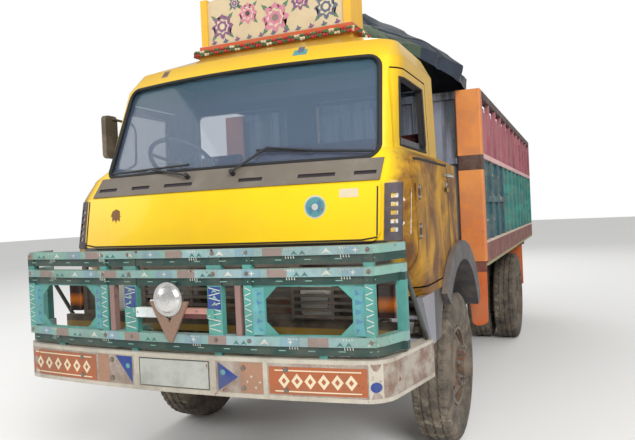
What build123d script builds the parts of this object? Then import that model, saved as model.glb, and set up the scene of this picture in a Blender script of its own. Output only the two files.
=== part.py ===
# Decorated two-axle truck: forward-control cab, steel guard and bumper, open slatted load body
from build123d import *
import math
import os

os.makedirs("parts", exist_ok=True)

# Overall frame in mm: the truck faces -Y, its left side is +X, and it stands on z = 0
BODY_END = 7700
NOSE = 45
LENGTH = BODY_END + NOSE
HALF_WIDTH = 1200


def aft(distance):
    """Y of a point this far behind the guard's front face."""
    return distance + NOSE - LENGTH / 2


# Wheels and axles
AXLE_Z = 505
TYRE_R = 505
TYRE_W = 262
RIM_R = 256
RIM_INNER = 244
RIM_W = 188
FRONT_WHEEL_D = 1740
REAR_WHEEL_D = 5300
FRONT_AXLE = aft(FRONT_WHEEL_D)
REAR_AXLE = aft(REAR_WHEEL_D)
FRONT_WHEEL_X = 1000
KINGPIN_X = 860
TWIN_OUTER_X = 1060
TWIN_INNER_X = 758
TRACK_ARM = 190
TRACK_ROD_Z = 370

# Ladder frame
RAIL_X = 430
RAIL_TOP = 960
RAIL_H = 225
RAIL_FLANGE = 75
PLATE = 8
RAIL_BOTTOM = RAIL_TOP - RAIL_H

# Cab
CAB_WALL = 40
CAB_FLOOR = 1120
CAB_REAR = 1810
UPPER_REAR = 1760
SCREEN_LOW = 1897
DOOR_GAP = 10
HINGE_Y = 640
ARCH_Z = 620
ARCH_R = 620
LID_BOTTOM = 1440
LID_TOP = 1750
LID_HALF = 975

# Guard and bumper
GUARD_HALF = 1060
GUARD_BOW = 80
GUARD_DEPTH = 50
BUMPER_LOW = 727
BUMPER_HIGH = 922

# Load body
BODY_FRONT = 2590
SIDE_FRONT = 2680
SILL_REAR = 7630
FLOOR_LOW = 1106
FLOOR_TOP = 1315
MID_RAIL = 1994
TOP_RAIL = 2500
BODY_TOP = 2560
GATE_HINGE_Y = BODY_END - 14
GATE_HINGE_Z = 1300


def across(y):
    """Plane that faces forward at this Y: its own axes are X and Z. Negative amounts extrude rearward."""
    return Plane.XZ.offset(-y)


def beside(x):
    """Plane that faces left at this X: its own axes are Y and Z."""
    return Plane.YZ.offset(x)


def block(x, y, z, mode=Mode.ADD):
    """A box between low and high limits along each axis."""
    centre = ((x[0] + x[1]) / 2, (y[0] + y[1]) / 2, (z[0] + z[1]) / 2)
    with Locations(centre):
        Box(x[1] - x[0], y[1] - y[0], z[1] - z[0], mode=mode)


def rod(start, end, radius, mode=Mode.ADD):
    """A round bar between two points."""
    run = Vector(*end) - Vector(*start)
    with BuildSketch(Plane(origin=start, z_dir=run)) as section:
        Circle(radius)
    extrude(section.sketch, amount=run.length, mode=mode)


def pipe(points, corner, radius):
    """A bent tube, drawn solid, through points with round corners."""
    with BuildLine() as route:
        FilletPolyline(*points, radius=corner)
    with BuildSketch(Plane(origin=route.line @ 0, z_dir=route.line % 0)) as section:
        Circle(radius)
    sweep(section.sketch, path=route.line)


def finish_part(builder, label):
    """Names a finished piece and writes its file."""
    builder.part.label = label
    export_step(builder.part, f"parts/{label}.step")


def mirrored(builder, label):
    """Writes the right-hand copy of a left-hand piece."""
    with BuildPart() as copy:
        add(mirror(builder.part, about=Plane.YZ, mode=Mode.PRIVATE))
    finish_part(copy, label)


# Leaf springs: packs of curved leaves with round eyes
def leaf_pack(x, y, z_low, half_span, sag, leaves, width, thick=12):
    """One spring: the longest leaf on top, its ends curved up by sag."""
    radius = (half_span**2 + sag**2) / (2 * sag)
    top = z_low + leaves * thick
    centre_z = top + radius - thick
    reach = math.degrees(math.asin(half_span / radius))
    for number in range(leaves):
        inner = radius - thick + number * thick
        angle = reach * (1 - 0.85 * number / leaves)
        with BuildSketch(beside(x - width / 2)) as section:
            with BuildLine():
                upper = CenterArc((y, centre_z), inner, 270 - angle, 2 * angle)
                lower = CenterArc((y, centre_z), inner + thick, 270 - angle, 2 * angle)
                Line(upper @ 0, lower @ 0)
                Line(upper @ 1, lower @ 1)
            make_face()
        extrude(section.sketch, amount=width)
    eye_z = centre_z - (radius - thick / 2) * math.cos(math.radians(reach))
    for end in (-1, 1):
        eye_y = y + end * (radius - thick / 2) * math.sin(math.radians(reach))
        rod((x - width / 2 - 1, eye_y, eye_z), (x + width / 2 + 1, eye_y, eye_z), 24)


FRONT_SPRING = dict(x=395, y=FRONT_AXLE, z_low=430, half_span=600, sag=130, leaves=7, width=68)
REAR_SPRING = dict(x=500, y=REAR_AXLE, z_low=590, half_span=650, sag=70, leaves=9, width=70)

with BuildPart() as leaf_springs:
    for spring in (FRONT_SPRING, REAR_SPRING):
        leaf_pack(**spring)
        top = spring["z_low"] + spring["leaves"] * 12
        for offset in (-70, 70):
            bolt_y = (spring["y"] + offset - 10, spring["y"] + offset + 10)
            for edge in (-1, 1):
                bolt_x = spring["x"] + edge * (spring["width"] / 2 + 8)
                block((bolt_x - 8, bolt_x + 8), bolt_y, (spring["z_low"], top + 24))
            cap_x = (spring["x"] - spring["width"] / 2 - 16, spring["x"] + spring["width"] / 2 + 16)
            block(cap_x, bolt_y, (top, top + 24))
    mirror(about=Plane.YZ)
finish_part(leaf_springs, "leaf_springs")


def eye_height(spring):
    """Height of a spring's eye centre."""
    radius = (spring["half_span"] ** 2 + spring["sag"] ** 2) / (2 * spring["sag"])
    reach = math.asin(spring["half_span"] / radius)
    return spring["z_low"] + spring["leaves"] * 12 + radius - 12 - (radius - 6) * math.cos(reach)


# Ladder frame with spring hangers
CROSS_MEMBERS = (
    # distance, underside
    (250, 765),
    (2330, 875),
    (3300, 765),
    (4350, 765),
    (5100, 765),
    (6100, 765),
    (7430, 765),
)
MEMBER_GAP = 0.3
COUPLING_X = 160
COUPLING_Z = 100
COUPLING_HOLE_R = 10.5
with BuildPart() as chassis_frame:
    with BuildSketch(across(aft(90))):
        with Locations((RAIL_X - RAIL_FLANGE / 2, RAIL_TOP - RAIL_H / 2)):
            Rectangle(RAIL_FLANGE, RAIL_H)
        with Locations((RAIL_X - RAIL_FLANGE / 2 - PLATE, RAIL_TOP - RAIL_H / 2)):
            Rectangle(RAIL_FLANGE, RAIL_H - 2 * PLATE, mode=Mode.SUBTRACT)
    extrude(amount=-(7520 - 90))
    for spring, x_in, x_out in ((FRONT_SPRING, 348, 440), (REAR_SPRING, 453, 547)):
        eye_z = eye_height(spring)
        half = spring["width"] / 2 + 1
        for end in (-1, 1):
            y = spring["y"] + end * spring["half_span"]
            y_span = (y - 38, y + 38)
            block((spring["x"] + half, x_out), y_span, (eye_z - 40, eye_z + 110))
            block((x_in, spring["x"] - half), y_span, (eye_z - 40, eye_z + 110))
            block((min(x_in, RAIL_X - 20), x_out), y_span, (eye_z + 50, eye_z + 110))
    mirror(about=Plane.YZ)
    web = RAIL_X - PLATE - MEMBER_GAP
    for d, low in CROSS_MEMBERS:
        block((-web, web), (aft(d) - 35, aft(d) + 35), (low, RAIL_TOP - 30))
        block((-web + 60, web - 60), (aft(d) - 28, aft(d) + 36), (low + 8, RAIL_TOP - 38), Mode.SUBTRACT)
    for side in (-1, 1):
        for d in (780, 1690):
            block(sorted((side * 355, side * RAIL_X)), (aft(d), aft(d + 60)), (RAIL_TOP, CAB_FLOOR))
    for x in (-COUPLING_X / 2, COUPLING_X / 2):
        for z in (-COUPLING_Z / 2, COUPLING_Z / 2):
            rod((x, aft(7380), 847 + z), (x, aft(7420), 847 + z), COUPLING_HOLE_R, Mode.SUBTRACT)
finish_part(chassis_frame, "chassis_frame")

# Engine and gearbox, plain masses at their real size and place, with the radiator ahead of them
ENGINE_REAR = 1740
GEARBOX_Z = 790
with BuildPart() as engine_block:
    block((-300, 300), (aft(960), aft(ENGINE_REAR)), (640, 1440))
    chamfer(edges().filter_by(Axis.Y).group_by(Axis.Z)[-1], 40)
    block((-330, 330), (aft(840), aft(900)), (800, 1420))
    block((-60, 60), (aft(900), aft(960)), (980, 1100))
    with BuildSketch(Plane.XY.offset(GEARBOX_Z)):
        with BuildLine():
            gearbox = ((0, ENGINE_REAR), (210, ENGINE_REAR), (110, 2280), (0, 2280))
            Polyline([(x, aft(d)) for x, d in gearbox], close=True)
        make_face()
    revolve(axis=Axis((0, 0, GEARBOX_Z), (0, 1, 0)), revolution_arc=360)
finish_part(engine_block, "engine_block")

# Propeller shaft from the gearbox to the rear axle
SHAFT_FRONT = (0, aft(2290), GEARBOX_Z)
PINION = (0, REAR_AXLE - 330, 530)
with BuildPart() as propeller_shaft:
    rod(SHAFT_FRONT, PINION, 42)
    run = (Vector(*PINION) - Vector(*SHAFT_FRONT)).normalized()
    for point, way in ((Vector(*SHAFT_FRONT), 1), (Vector(*PINION), -1)):
        near = point + run * (way * 20)
        far = point + run * (way * 90)
        rod(tuple(near), tuple(far), 62)
finish_part(propeller_shaft, "propeller_shaft")

# Front axle: a dropped I-beam with a kingpin boss at each end
with BuildPart() as front_axle:
    with BuildSketch(across(FRONT_AXLE - 42)):
        with BuildLine():
            under = ((0, 350), (470, 350), (650, 462), (830, 462))
            over = ((830, 548), (620, 548), (460, 430), (0, 430))
            Polyline(*under, *over, close=True)
        make_face()
    extrude(amount=-84)
    for face_y, way in ((FRONT_AXLE - 42, -1), (FRONT_AXLE + 42, 1)):
        with BuildSketch(across(face_y)):
            with BuildLine():
                under = ((0, 365), (466, 365), (640, 477), (800, 477))
                over = ((800, 533), (628, 533), (464, 415), (0, 415))
                Polyline(*under, *over, close=True)
            make_face()
        extrude(amount=way * 30, mode=Mode.SUBTRACT)
    mirror(about=Plane.YZ)
    for side in (-1, 1):
        rod((side * KINGPIN_X, FRONT_AXLE, 443), (side * KINGPIN_X, FRONT_AXLE, 572), 42)
        rod((side * KINGPIN_X, FRONT_AXLE, 440), (side * KINGPIN_X, FRONT_AXLE, 580), 20, Mode.SUBTRACT)
finish_part(front_axle, "front_axle")

# Steering knuckle: kingpin, forked ears, backing plate, stub axle and track arm
with BuildPart() as knuckle_left:
    y = FRONT_AXLE
    for low, high in ((405, 437), (578, 610)):
        rod((KINGPIN_X, y, low), (KINGPIN_X, y, high), 42)
        block((KINGPIN_X, KINGPIN_X + 70), (y - 40, y + 40), (low, high))
    rod((KINGPIN_X, y, 405), (KINGPIN_X, y, 610), 19.95)
    block((KINGPIN_X + 50, KINGPIN_X + 72), (y - 40, y + 40), (405, 610))
    rod((KINGPIN_X + 66, y, AXLE_Z), (KINGPIN_X + 76, y, AXLE_Z), 195)
    rod((KINGPIN_X + 66, y, AXLE_Z), (KINGPIN_X + 225, y, AXLE_Z), 30)
    block((KINGPIN_X - 15, KINGPIN_X + 15), (y + 20, y + TRACK_ARM), (405, 430))
    rod((KINGPIN_X, y + TRACK_ARM, 405), (KINGPIN_X, y + TRACK_ARM, 430), 22)
    rod((KINGPIN_X, y + TRACK_ARM, TRACK_ROD_Z - 16), (KINGPIN_X, y + TRACK_ARM, 405), 12)
finish_part(knuckle_left, "knuckle_left")
mirrored(knuckle_left, "knuckle_right")

# Track rod between the two arms, with an eye at each end
with BuildPart() as track_rod:
    y = FRONT_AXLE + TRACK_ARM
    rod((-KINGPIN_X + 22, y, TRACK_ROD_Z), (KINGPIN_X - 22, y, TRACK_ROD_Z), 16)
    for side, bore in ((1, 12.05), (-1, 14)):
        rod((side * KINGPIN_X, y, TRACK_ROD_Z - 18), (side * KINGPIN_X, y, TRACK_ROD_Z + 18), 26)
        pin_x = side * KINGPIN_X
        rod((pin_x, y, TRACK_ROD_Z - 20), (pin_x, y, TRACK_ROD_Z + 20), bore, Mode.SUBTRACT)
finish_part(track_rod, "track_rod")

# Rear axle: tubes, round differential case, pinion nose and backing plates
with BuildPart() as rear_axle:
    rod((-632, REAR_AXLE, AXLE_Z), (632, REAR_AXLE, AXLE_Z), 62)
    with BuildSketch(Plane.XY.offset(AXLE_Z)):
        with BuildLine():
            bowl = ((0, 20), (0, 195), (110, 175), (200, 70), (200, 20))
            Polyline([(x, REAR_AXLE + y) for x, y in bowl], close=True)
        make_face()
    revolve(axis=Axis((0, REAR_AXLE, AXLE_Z), (1, 0, 0)), revolution_arc=360)
    mirror(about=Plane.YZ)
    rod((0, REAR_AXLE - 325, 530), (0, REAR_AXLE - 100, 520), 80)
    for side in (-1, 1):
        rod((side * 620, REAR_AXLE, AXLE_Z), (side * 632, REAR_AXLE, AXLE_Z), 200)
        block((side * 500 - 45, side * 500 + 45), (REAR_AXLE - 90, REAR_AXLE + 90), (540, 590))
finish_part(rear_axle, "rear_axle")


# Tyres and rims: revolved about the axle
HAND_HOLES = 8


def tyre(x, y):
    """A plain crowned tyre centred at x."""
    half = TYRE_W / 2
    bead = (82, RIM_R + 3)
    shoulder = (112, TYRE_R - 13)
    right = [bead, (half, 385), shoulder]
    left = [(-across_x, radius) for across_x, radius in reversed(right)]
    dish([(x + dx, radius) for dx, radius in [*right, (0, TYRE_R), *left]], y)


def rim(x, y):
    """A flanged rim channel centred at x."""
    half = RIM_W / 2
    flange = (half + 6, 268)
    right = ((flange[0], RIM_INNER), flange, (half, RIM_R))
    left = [(-dx, radius) for dx, radius in reversed(right)]
    dish([(x + dx, radius) for dx, radius in (*right, *left)], y)


def dish(profile, y):
    """A wheel disc or drum from a list of (x, radius) points, turned about the axle."""
    with BuildSketch(Plane.XY.offset(AXLE_Z)) as section:
        with BuildLine():
            Polyline(*[(x, y + r) for x, r in profile], close=True)
        make_face()
    revolve(section.sketch, axis=Axis((0, y, AXLE_Z), (1, 0, 0)), revolution_arc=360)


def hand_holes(x, y, ring, radius):
    """Eight-sided hand holes through a wheel disc."""
    with BuildSketch(beside(x - 60)) as holes:
        with Locations((y, AXLE_Z)):
            with PolarLocations(ring, HAND_HOLES):
                RegularPolygon(radius, 8)
    extrude(holes.sketch, amount=120, mode=Mode.SUBTRACT)


with BuildPart() as tyre_front_left:
    tyre(FRONT_WHEEL_X, FRONT_AXLE)
finish_part(tyre_front_left, "tyre_front_left")
mirrored(tyre_front_left, "tyre_front_right")

with BuildPart() as rim_front_left:
    x = FRONT_WHEEL_X
    rim(x, FRONT_AXLE)
    disc = ((40, 247), (52, 247), (105, 150), (105, 60), (93, 60), (93, 145))
    drum = ((-58, 190), (-58, 205), (52, 205), (93, 110), (80, 105), (42, 190))
    hub = ((10, 36), (10, 72), (150, 72), (184, 50), (186, 0), (110, 0), (110, 36))
    for profile in (disc, drum, hub):
        dish([(x + dx, radius) for dx, radius in profile], FRONT_AXLE)
    hand_holes(x + 70, FRONT_AXLE, 192, 24)
finish_part(rim_front_left, "rim_front_left")
mirrored(rim_front_left, "rim_front_right")

with BuildPart() as tyres_rear_left:
    tyre(TWIN_OUTER_X, REAR_AXLE)
    tyre(TWIN_INNER_X, REAR_AXLE)
finish_part(tyres_rear_left, "tyres_rear_left")
mirrored(tyres_rear_left, "tyres_rear_right")

with BuildPart() as rims_rear_left:
    x = (TWIN_OUTER_X + TWIN_INNER_X) / 2
    rim(TWIN_OUTER_X, REAR_AXLE)
    rim(TWIN_INNER_X, REAR_AXLE)
    outer = ((-112, 247), (-12, 150), (-12, 60), (12, 60), (12, 150), (112, 247))
    discs = (*outer, (100, 247), (0, 165), (-100, 247))
    drum = ((-269, 190), (-269, 205), (-79, 205), (-12, 130), (-24, 125), (-89, 190))
    hub = ((-24, 0), (-24, 90), (150, 90), (200, 60), (200, 0))
    for profile in (discs, drum, hub):
        dish([(x + dx, radius) for dx, radius in profile], REAR_AXLE)
    for side in (-1, 1):
        hand_holes(x + side * 60, REAR_AXLE, 200, 22)
finish_part(rims_rear_left, "rims_rear_left")
mirrored(rims_rear_left, "rims_rear_right")

# Fuel tank on the right, battery box on the left, exhaust on the left
with BuildPart() as fuel_tank:
    block((-1060, -560), (aft(3250), aft(4250)), (500, 940))
    fillet(edges().filter_by(Axis.Y), 90)
    for d in (3450, 4050):
        block((-1066, -554), (aft(d) - 25, aft(d) + 25), (494, 946))
        fillet(edges().filter_by(Axis.Y).filter_by_position(Axis.Y, aft(d) - 26, aft(d) + 26), 60)
        block((-560, -RAIL_X), (aft(d) - 25, aft(d) + 25), (RAIL_BOTTOM, 900))
    rod((-940, aft(3320), 900), (-940, aft(3320), 975), 38)
finish_part(fuel_tank, "fuel_tank")

with BuildPart() as battery_box:
    block((RAIL_X, 900), (aft(2780), aft(3200)), (600, 640))
    block((500, 880), (aft(2800), aft(3180)), (640, 880))
    block((RAIL_X, 500), (aft(2820), aft(2870)), (600, 860))
    block((RAIL_X, 500), (aft(3110), aft(3160)), (600, 860))
    fillet(edges().filter_by(Axis.Z).group_by(Axis.X)[-1], 18)
finish_part(battery_box, "battery_box")

with BuildPart() as exhaust:
    down_pipe = ((262, ENGINE_REAR + 1, 690), (262, 3420, 690), (620, 3420, 640), (620, 3660, 640))
    pipe([(x, aft(d), z) for x, d, z in down_pipe], 60, 32)
    rod((620, aft(3640), 640), (620, aft(4340), 640), 105)
    pipe(((620, aft(4320), 640), (620, aft(4480), 640), (900, aft(4520), 610)), 60, 30)
    for d in (3750, 4230):
        block((RAIL_X, 620), (aft(d) - 15, aft(d) + 15), (735, 765))
finish_part(exhaust, "exhaust")


# Front bumper: a pressed channel, bowed, with splayed ends
def front_band(bow_half, end, corner, depth, low, high, setback=0, mode=Mode.ADD):
    """A solid that follows the bowed front in plan, between two heights and of this depth."""
    lean = math.atan2(end[1] - GUARD_BOW, end[0] - bow_half)
    inward = (-math.sin(lean) * depth, math.cos(lean) * depth)
    back_x = bow_half - depth * math.tan(lean / 2)
    with BuildSketch(Plane.XY.offset(low)) as section:
        with BuildLine():
            face = ThreePointArc(
                (-bow_half, aft(GUARD_BOW + setback)), (0, aft(setback)), (bow_half, aft(GUARD_BOW + setback))
            )
            left = Polyline(
                face @ 1,
                (end[0], aft(end[1] + setback)),
                (end[0] + inward[0], aft(end[1] + setback + inward[1])),
                (back_x, aft(GUARD_BOW + setback + depth)),
            )
            right = Polyline(
                face @ 0,
                (-end[0], aft(end[1] + setback)),
                (-end[0] - inward[0], aft(end[1] + setback + inward[1])),
                (-back_x, aft(GUARD_BOW + setback + depth)),
            )
            ThreePointArc(right @ 1, (0, aft(setback + depth)), left @ 1)
        make_face()
        if corner:
            bend_y = aft(GUARD_BOW + setback) + 1
            outer = vertices().filter_by(lambda v: abs(abs(v.X) - bow_half) < 1 and v.Y < bend_y)
            inner = vertices().filter_by(lambda v: abs(abs(v.X) - back_x) < 1 and v.Y > bend_y)
            fillet(outer, corner)
            fillet(inner, corner - depth * 0.7)
    extrude(section.sketch, amount=high - low, mode=mode)


BUMPER_HALF = 1095
BUMPER_END = (1197, 600)
BUMPER_CORNER = 150
with BuildPart() as front_bumper:
    front_band(BUMPER_HALF, BUMPER_END, BUMPER_CORNER, 70, BUMPER_LOW, BUMPER_HIGH)
    inside = (BUMPER_LOW + PLATE, BUMPER_HIGH - PLATE)
    front_band(BUMPER_HALF, BUMPER_END, BUMPER_CORNER - 10, 80, *inside, PLATE, Mode.SUBTRACT)
    for side in (-1, 1):
        limits = sorted((side * (RAIL_X - 60), side * (RAIL_X - PLATE)))
        block(limits, (aft(20), aft(205)), (RAIL_BOTTOM + 20, BUMPER_HIGH - PLATE))
finish_part(front_bumper, "front_bumper")

# Guard: three bowed rails with returned ends, posts, octagonal lamp panels and stays to the frame
GUARD_END = (1150, 300)
GUARD_RAILS = (
    # low, step, high
    (938, 980, 1024),
    (1268, 1306, 1346),
    (1368, 1407, 1446),
)
GUARD_FOOT = GUARD_RAILS[0][1]
PANEL_LOW = GUARD_RAILS[0][2]
PANEL_HIGH = GUARD_RAILS[1][0]
GUARD_TOP = 1430
GUARD_POSTS = (
    # x, width, low, high
    (258, 80, GUARD_FOOT, GUARD_TOP),
    (440, 46, GUARD_FOOT, GUARD_TOP),
    (1032, 46, GUARD_FOOT, GUARD_TOP),
    (385, 30, PANEL_LOW, PANEL_HIGH),
)


def bow(x):
    """How far the guard's face stands back at this X."""
    return GUARD_BOW * (x / GUARD_HALF) ** 2


with BuildPart() as guard:
    front_band(GUARD_HALF, GUARD_END, 90, 8, PANEL_LOW, PANEL_HIGH + 2, 20)
    with BuildSketch(across(aft(-20))) as panels:
        for side in (-1, 1):
            with Locations((side * 736, (PANEL_LOW + PANEL_HIGH) / 2)):
                Rectangle(610, PANEL_HIGH - PANEL_LOW)
                with BuildSketch(Plane.XY, mode=Mode.PRIVATE) as opening:
                    Rectangle(425, 228)
                    chamfer(opening.vertices(), 60)
                add(opening.sketch, mode=Mode.SUBTRACT)
    extrude(panels.sketch, amount=-400, mode=Mode.INTERSECT)
    for low, step, high in GUARD_RAILS:
        front_band(GUARD_HALF, GUARD_END, 90, GUARD_DEPTH, step, high)
        front_band(GUARD_HALF, GUARD_END, 90, GUARD_DEPTH - 12, low, step, 12)
    for x, width, low, high in GUARD_POSTS:
        for side in (-1, 1):
            limits = sorted((side * (x - width / 2), side * (x + width / 2)))
            block(limits, (aft(bow(x) + 6), aft(bow(x) + 44)), (low, high))
    block((-255, 255), (aft(0), aft(30)), (1105, 1155))
    for side in (-1, 1):
        end_z = (GUARD_RAILS[0][0], GUARD_RAILS[1][2])
        block(sorted((side * 1106, side * 1152)), (aft(262), aft(306)), end_z)
        rod((side * 1138, aft(295), 1325), (side * 1168, aft(575), BUMPER_HIGH + 9), 12)
        block(sorted((side * 362, side * 428)), (aft(30), aft(300)), (RAIL_TOP, 1010))
        for x in (255, 800):
            stub_y = (aft(bow(x) + 20), aft(bow(x) + 45))
            block(sorted((side * (x - 20), side * (x + 20))), stub_y, (BUMPER_HIGH, GUARD_RAILS[0][0] + 4))
finish_part(guard, "guard")

# Ornament on the guard's centre: a V-shaped plate under a round dome
DOME_Z = 1202
with BuildPart() as front_ornament:
    with BuildSketch(across(aft(-13))):
        with BuildLine():
            arm = ((56, 1190), (118, 1190), (12, 984))
            Polyline((0, 1080), *arm, *[(-x, z) for x, z in reversed(arm)], close=True)
        make_face()
    extrude(amount=-13)
    with BuildSketch(Plane.XY.offset(DOME_Z)):
        with BuildLine():
            dome = ((0, 0), (86, 0), (86, 20), (72, 20), (60, 34), (32, 43), (0, NOSE))
            Polyline([(x, aft(-ahead)) for x, ahead in dome], close=True)
        make_face()
    revolve(axis=Axis((0, 0, DOME_Z), (0, 1, 0)), revolution_arc=360)
finish_part(front_ornament, "front_ornament")

# Grille behind the guard, with a louvred lamp cover on its left side only, and the valance under it
GRILLE_Y = (405, 430)
with BuildPart() as grille:
    with BuildSketch(across(aft(GRILLE_Y[0]))):
        with Locations((0, 1230)):
            Rectangle(1920, 390)
        for x, width in ((0, 960), (-735, 390), (735, 390)):
            with Locations((x, 1230)):
                Rectangle(width, 330, mode=Mode.SUBTRACT)
    extrude(amount=-(GRILLE_Y[1] - GRILLE_Y[0]))
    for number in range(7):
        z = 1100 + number * 44
        block((-480, 480), (aft(408), aft(428)), (z, z + 16))
    for x in (-160, 160):
        block((x - 8, x + 8), (aft(412), aft(428)), (1065, 1395))
    for x in (-735, 735):
        block((x - 200, x + 200), (aft(420), aft(430)), (1060, 1240))
        for z in (1280, 1330, 1372):
            block((x - 200, x + 200), (aft(408), aft(428)), (z, z + 14))
    for number in range(5):
        z = 1062 + number * 36
        block((520, 945), (aft(330), aft(342)), (z, z + 15))
    for x in (520, 745, 930):
        block((x, x + 15), (aft(330), aft(405)), (1055, 1228))
    block((-1100, 1100), (aft(400), aft(430)), (RAIL_TOP, 1035))
finish_part(grille, "grille")

# Lamps: round headlamps in square surrounds, amber corner lamps and rear lamps
with BuildPart() as headlamps:
    for x in (-640, 640):
        with BuildSketch(across(aft(420))):
            with Locations((x, 1145)):
                RectangleRounded(190, 160, 24)
        extrude(amount=28)
        rod((x, aft(392), 1145), (x, aft(372), 1145), 70)

with BuildPart() as lamps:
    for side in (-1, 1):
        block(sorted((side * 966, side * 1063)), (aft(392), aft(440)), (1061, 1225))
        block(sorted((side * 860, side * 1080)), (aft(7560), aft(7600)), (985, 1075))
        block(sorted((side * 940, side * 1000)), (aft(7570), aft(7592)), (1075, FLOOR_LOW))
    fillet(edges().filter_by(Axis.Z), 10)
    add(headlamps.part)
finish_part(lamps, "lamps")

# Cab form: plan outlines from the floor to the roof
CAB_SECTIONS = (
    # z, half width, front at centre, front at ends, front corner radius, rear
    (CAB_FLOOR, 1130, 700, 760, 140, CAB_REAR),
    (1420, 1130, 435, 490, 150, CAB_REAR),
    (1755, 1130, 450, 568, 160, CAB_REAR),
    (1885, 1120, 525, 682, 165, CAB_REAR),
    (1945, 1015, 549, 695, 150, UPPER_REAR),
    (2500, 1000, 775, 920, 150, UPPER_REAR),
    (2620, 940, 880, 1000, 150, 1725),
    (2740, 660, 1190, 1245, 160, 1600),
)


def cab_form(inset):
    """The cab's closed outer form, moved inward by inset on every side."""
    last = len(CAB_SECTIONS) - 1
    outlines = []
    for index, (z, half, middle, end, corner, rear) in enumerate(CAB_SECTIONS):
        lift = inset if index == 0 else -inset if index == last else 0
        wide = half - inset
        with BuildSketch(Plane.XY.offset(z + lift)) as outline:
            with BuildLine():
                end_y = aft(end + inset)
                front = ThreePointArc((-wide, end_y), (0, aft(middle + inset)), (wide, end_y))
                Polyline(front @ 1, (wide, aft(rear - inset)), (-wide, aft(rear - inset)), front @ 0)
            make_face()
            fillet(vertices().group_by(Axis.Y)[0], corner - inset * 0.8)
            fillet(vertices().group_by(Axis.Y)[-1], 50 - inset * 0.7)
        outlines.append(outline.sketch)
    with BuildPart() as form:
        loft(outlines, ruled=True)
    return form.part


def cab_front(x, z):
    """Distance of the cab's front skin behind the guard's face at this X and height."""
    for low, high in zip(CAB_SECTIONS, CAB_SECTIONS[1:]):
        if low[0] <= z <= high[0]:
            share = (z - low[0]) / (high[0] - low[0])
            half, middle, end = (low[k] + share * (high[k] - low[k]) for k in (1, 2, 3))
            return middle + (end - middle) * (x / half) ** 2
    raise ValueError("height outside the cab")


cab_outer = cab_form(0)
cab_inner = cab_form(CAB_WALL)

SCREEN = ((-922, SCREEN_LOW), (922, SCREEN_LOW), (888, 2492), (-888, 2492))
DOOR_ARCH_R = 762


def door_outline(grow):
    """The door's side outline, grown on every side."""
    arch_r = DOOR_ARCH_R - grow
    low = 1175 - grow
    rear = 1480 + grow
    foot_y = FRONT_WHEEL_D - math.sqrt(arch_r**2 - (low - ARCH_Z) ** 2)
    rear_z = ARCH_Z + math.sqrt(arch_r**2 - (rear - FRONT_WHEEL_D) ** 2)
    mid_y = (foot_y + rear) / 2
    mid_z = ARCH_Z + math.sqrt(arch_r**2 - (mid_y - FRONT_WHEEL_D) ** 2)
    with BuildSketch(Plane.XY) as outline:
        with BuildLine():
            Polyline(
                (aft(rear), rear_z),
                (aft(rear), 2415 + grow),
                (aft(884 - grow), 2415 + grow),
                (aft(735 - grow), 1945),
                (aft(HINGE_Y - grow), 1765),
                (aft(HINGE_Y - grow), low),
                (aft(foot_y), low),
            )
            ThreePointArc((aft(foot_y), low), (aft(mid_y), mid_z), (aft(rear), rear_z))
        make_face()
    return outline.sketch


def door_window(grow):
    """The door window's side outline."""
    with BuildSketch(Plane.XY) as outline:
        with BuildLine():
            Polyline(
                (aft(792 - grow), 1965 - grow),
                (aft(1390 + grow), 1965 - grow),
                (aft(1390 + grow), 2360 + grow),
                (aft(918 - grow), 2360 + grow),
                close=True,
            )
        make_face()
        fillet(vertices(), 24)
    return outline.sketch


def side_cut(outline, side, start, mode):
    """Extrudes a side outline outward from this X on one side."""
    placed = beside(side * start) * outline
    extrude(placed, amount=side * 400, mode=mode)


REAR_WINDOWS = ((-530, 810), (530, 810))

with BuildPart() as cab_shell:
    add(cab_outer)
    add(cab_inner, mode=Mode.SUBTRACT)
    with BuildSketch(across(aft(300))):
        with BuildLine():
            Polyline(*SCREEN, close=True)
        make_face()
        fillet(vertices(), 65)
    extrude(amount=-900, mode=Mode.SUBTRACT)
    with BuildSketch(across(aft(UPPER_REAR - 150))):
        for x, width in REAR_WINDOWS:
            with Locations((x, 2230)):
                RectangleRounded(width, 400, 40)
    extrude(amount=-300, mode=Mode.SUBTRACT)
    for side in (-1, 1):
        side_cut(door_outline(DOOR_GAP), side, 940, Mode.SUBTRACT)
        well_x = (side * 739, side * 1300)
        well_r = ARCH_R + CAB_WALL + 1
        rod((well_x[0], FRONT_AXLE, ARCH_Z), (well_x[1], FRONT_AXLE, ARCH_Z), well_r, Mode.SUBTRACT)
    block((-440, 440), (aft(790), aft(CAB_REAR - CAB_WALL + 1)), (CAB_FLOOR + 1, 1520))
    block((-400, 400), (aft(830), aft(CAB_REAR - CAB_WALL)), (1000, 1480), Mode.SUBTRACT)
finish_part(cab_shell, "cab_shell")

with BuildPart() as windscreen:
    add(cab_form(16))
    add(cab_form(24), mode=Mode.SUBTRACT)
    with BuildSketch(across(aft(300))):
        with BuildLine():
            Polyline(*SCREEN, close=True)
        make_face()
        fillet(vertices(), 65)
    extrude(amount=-900, mode=Mode.INTERSECT)
with BuildPart() as cab_glass:
    for x, width in REAR_WINDOWS:
        glass_y = (aft(UPPER_REAR - 34), aft(UPPER_REAR - 28))
        block((x - width / 2, x + width / 2), glass_y, (2030, 2430))
    fillet(edges().filter_by(Axis.Y), 40)
    add(windscreen.part)
finish_part(cab_glass, "cab_glass")

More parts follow.
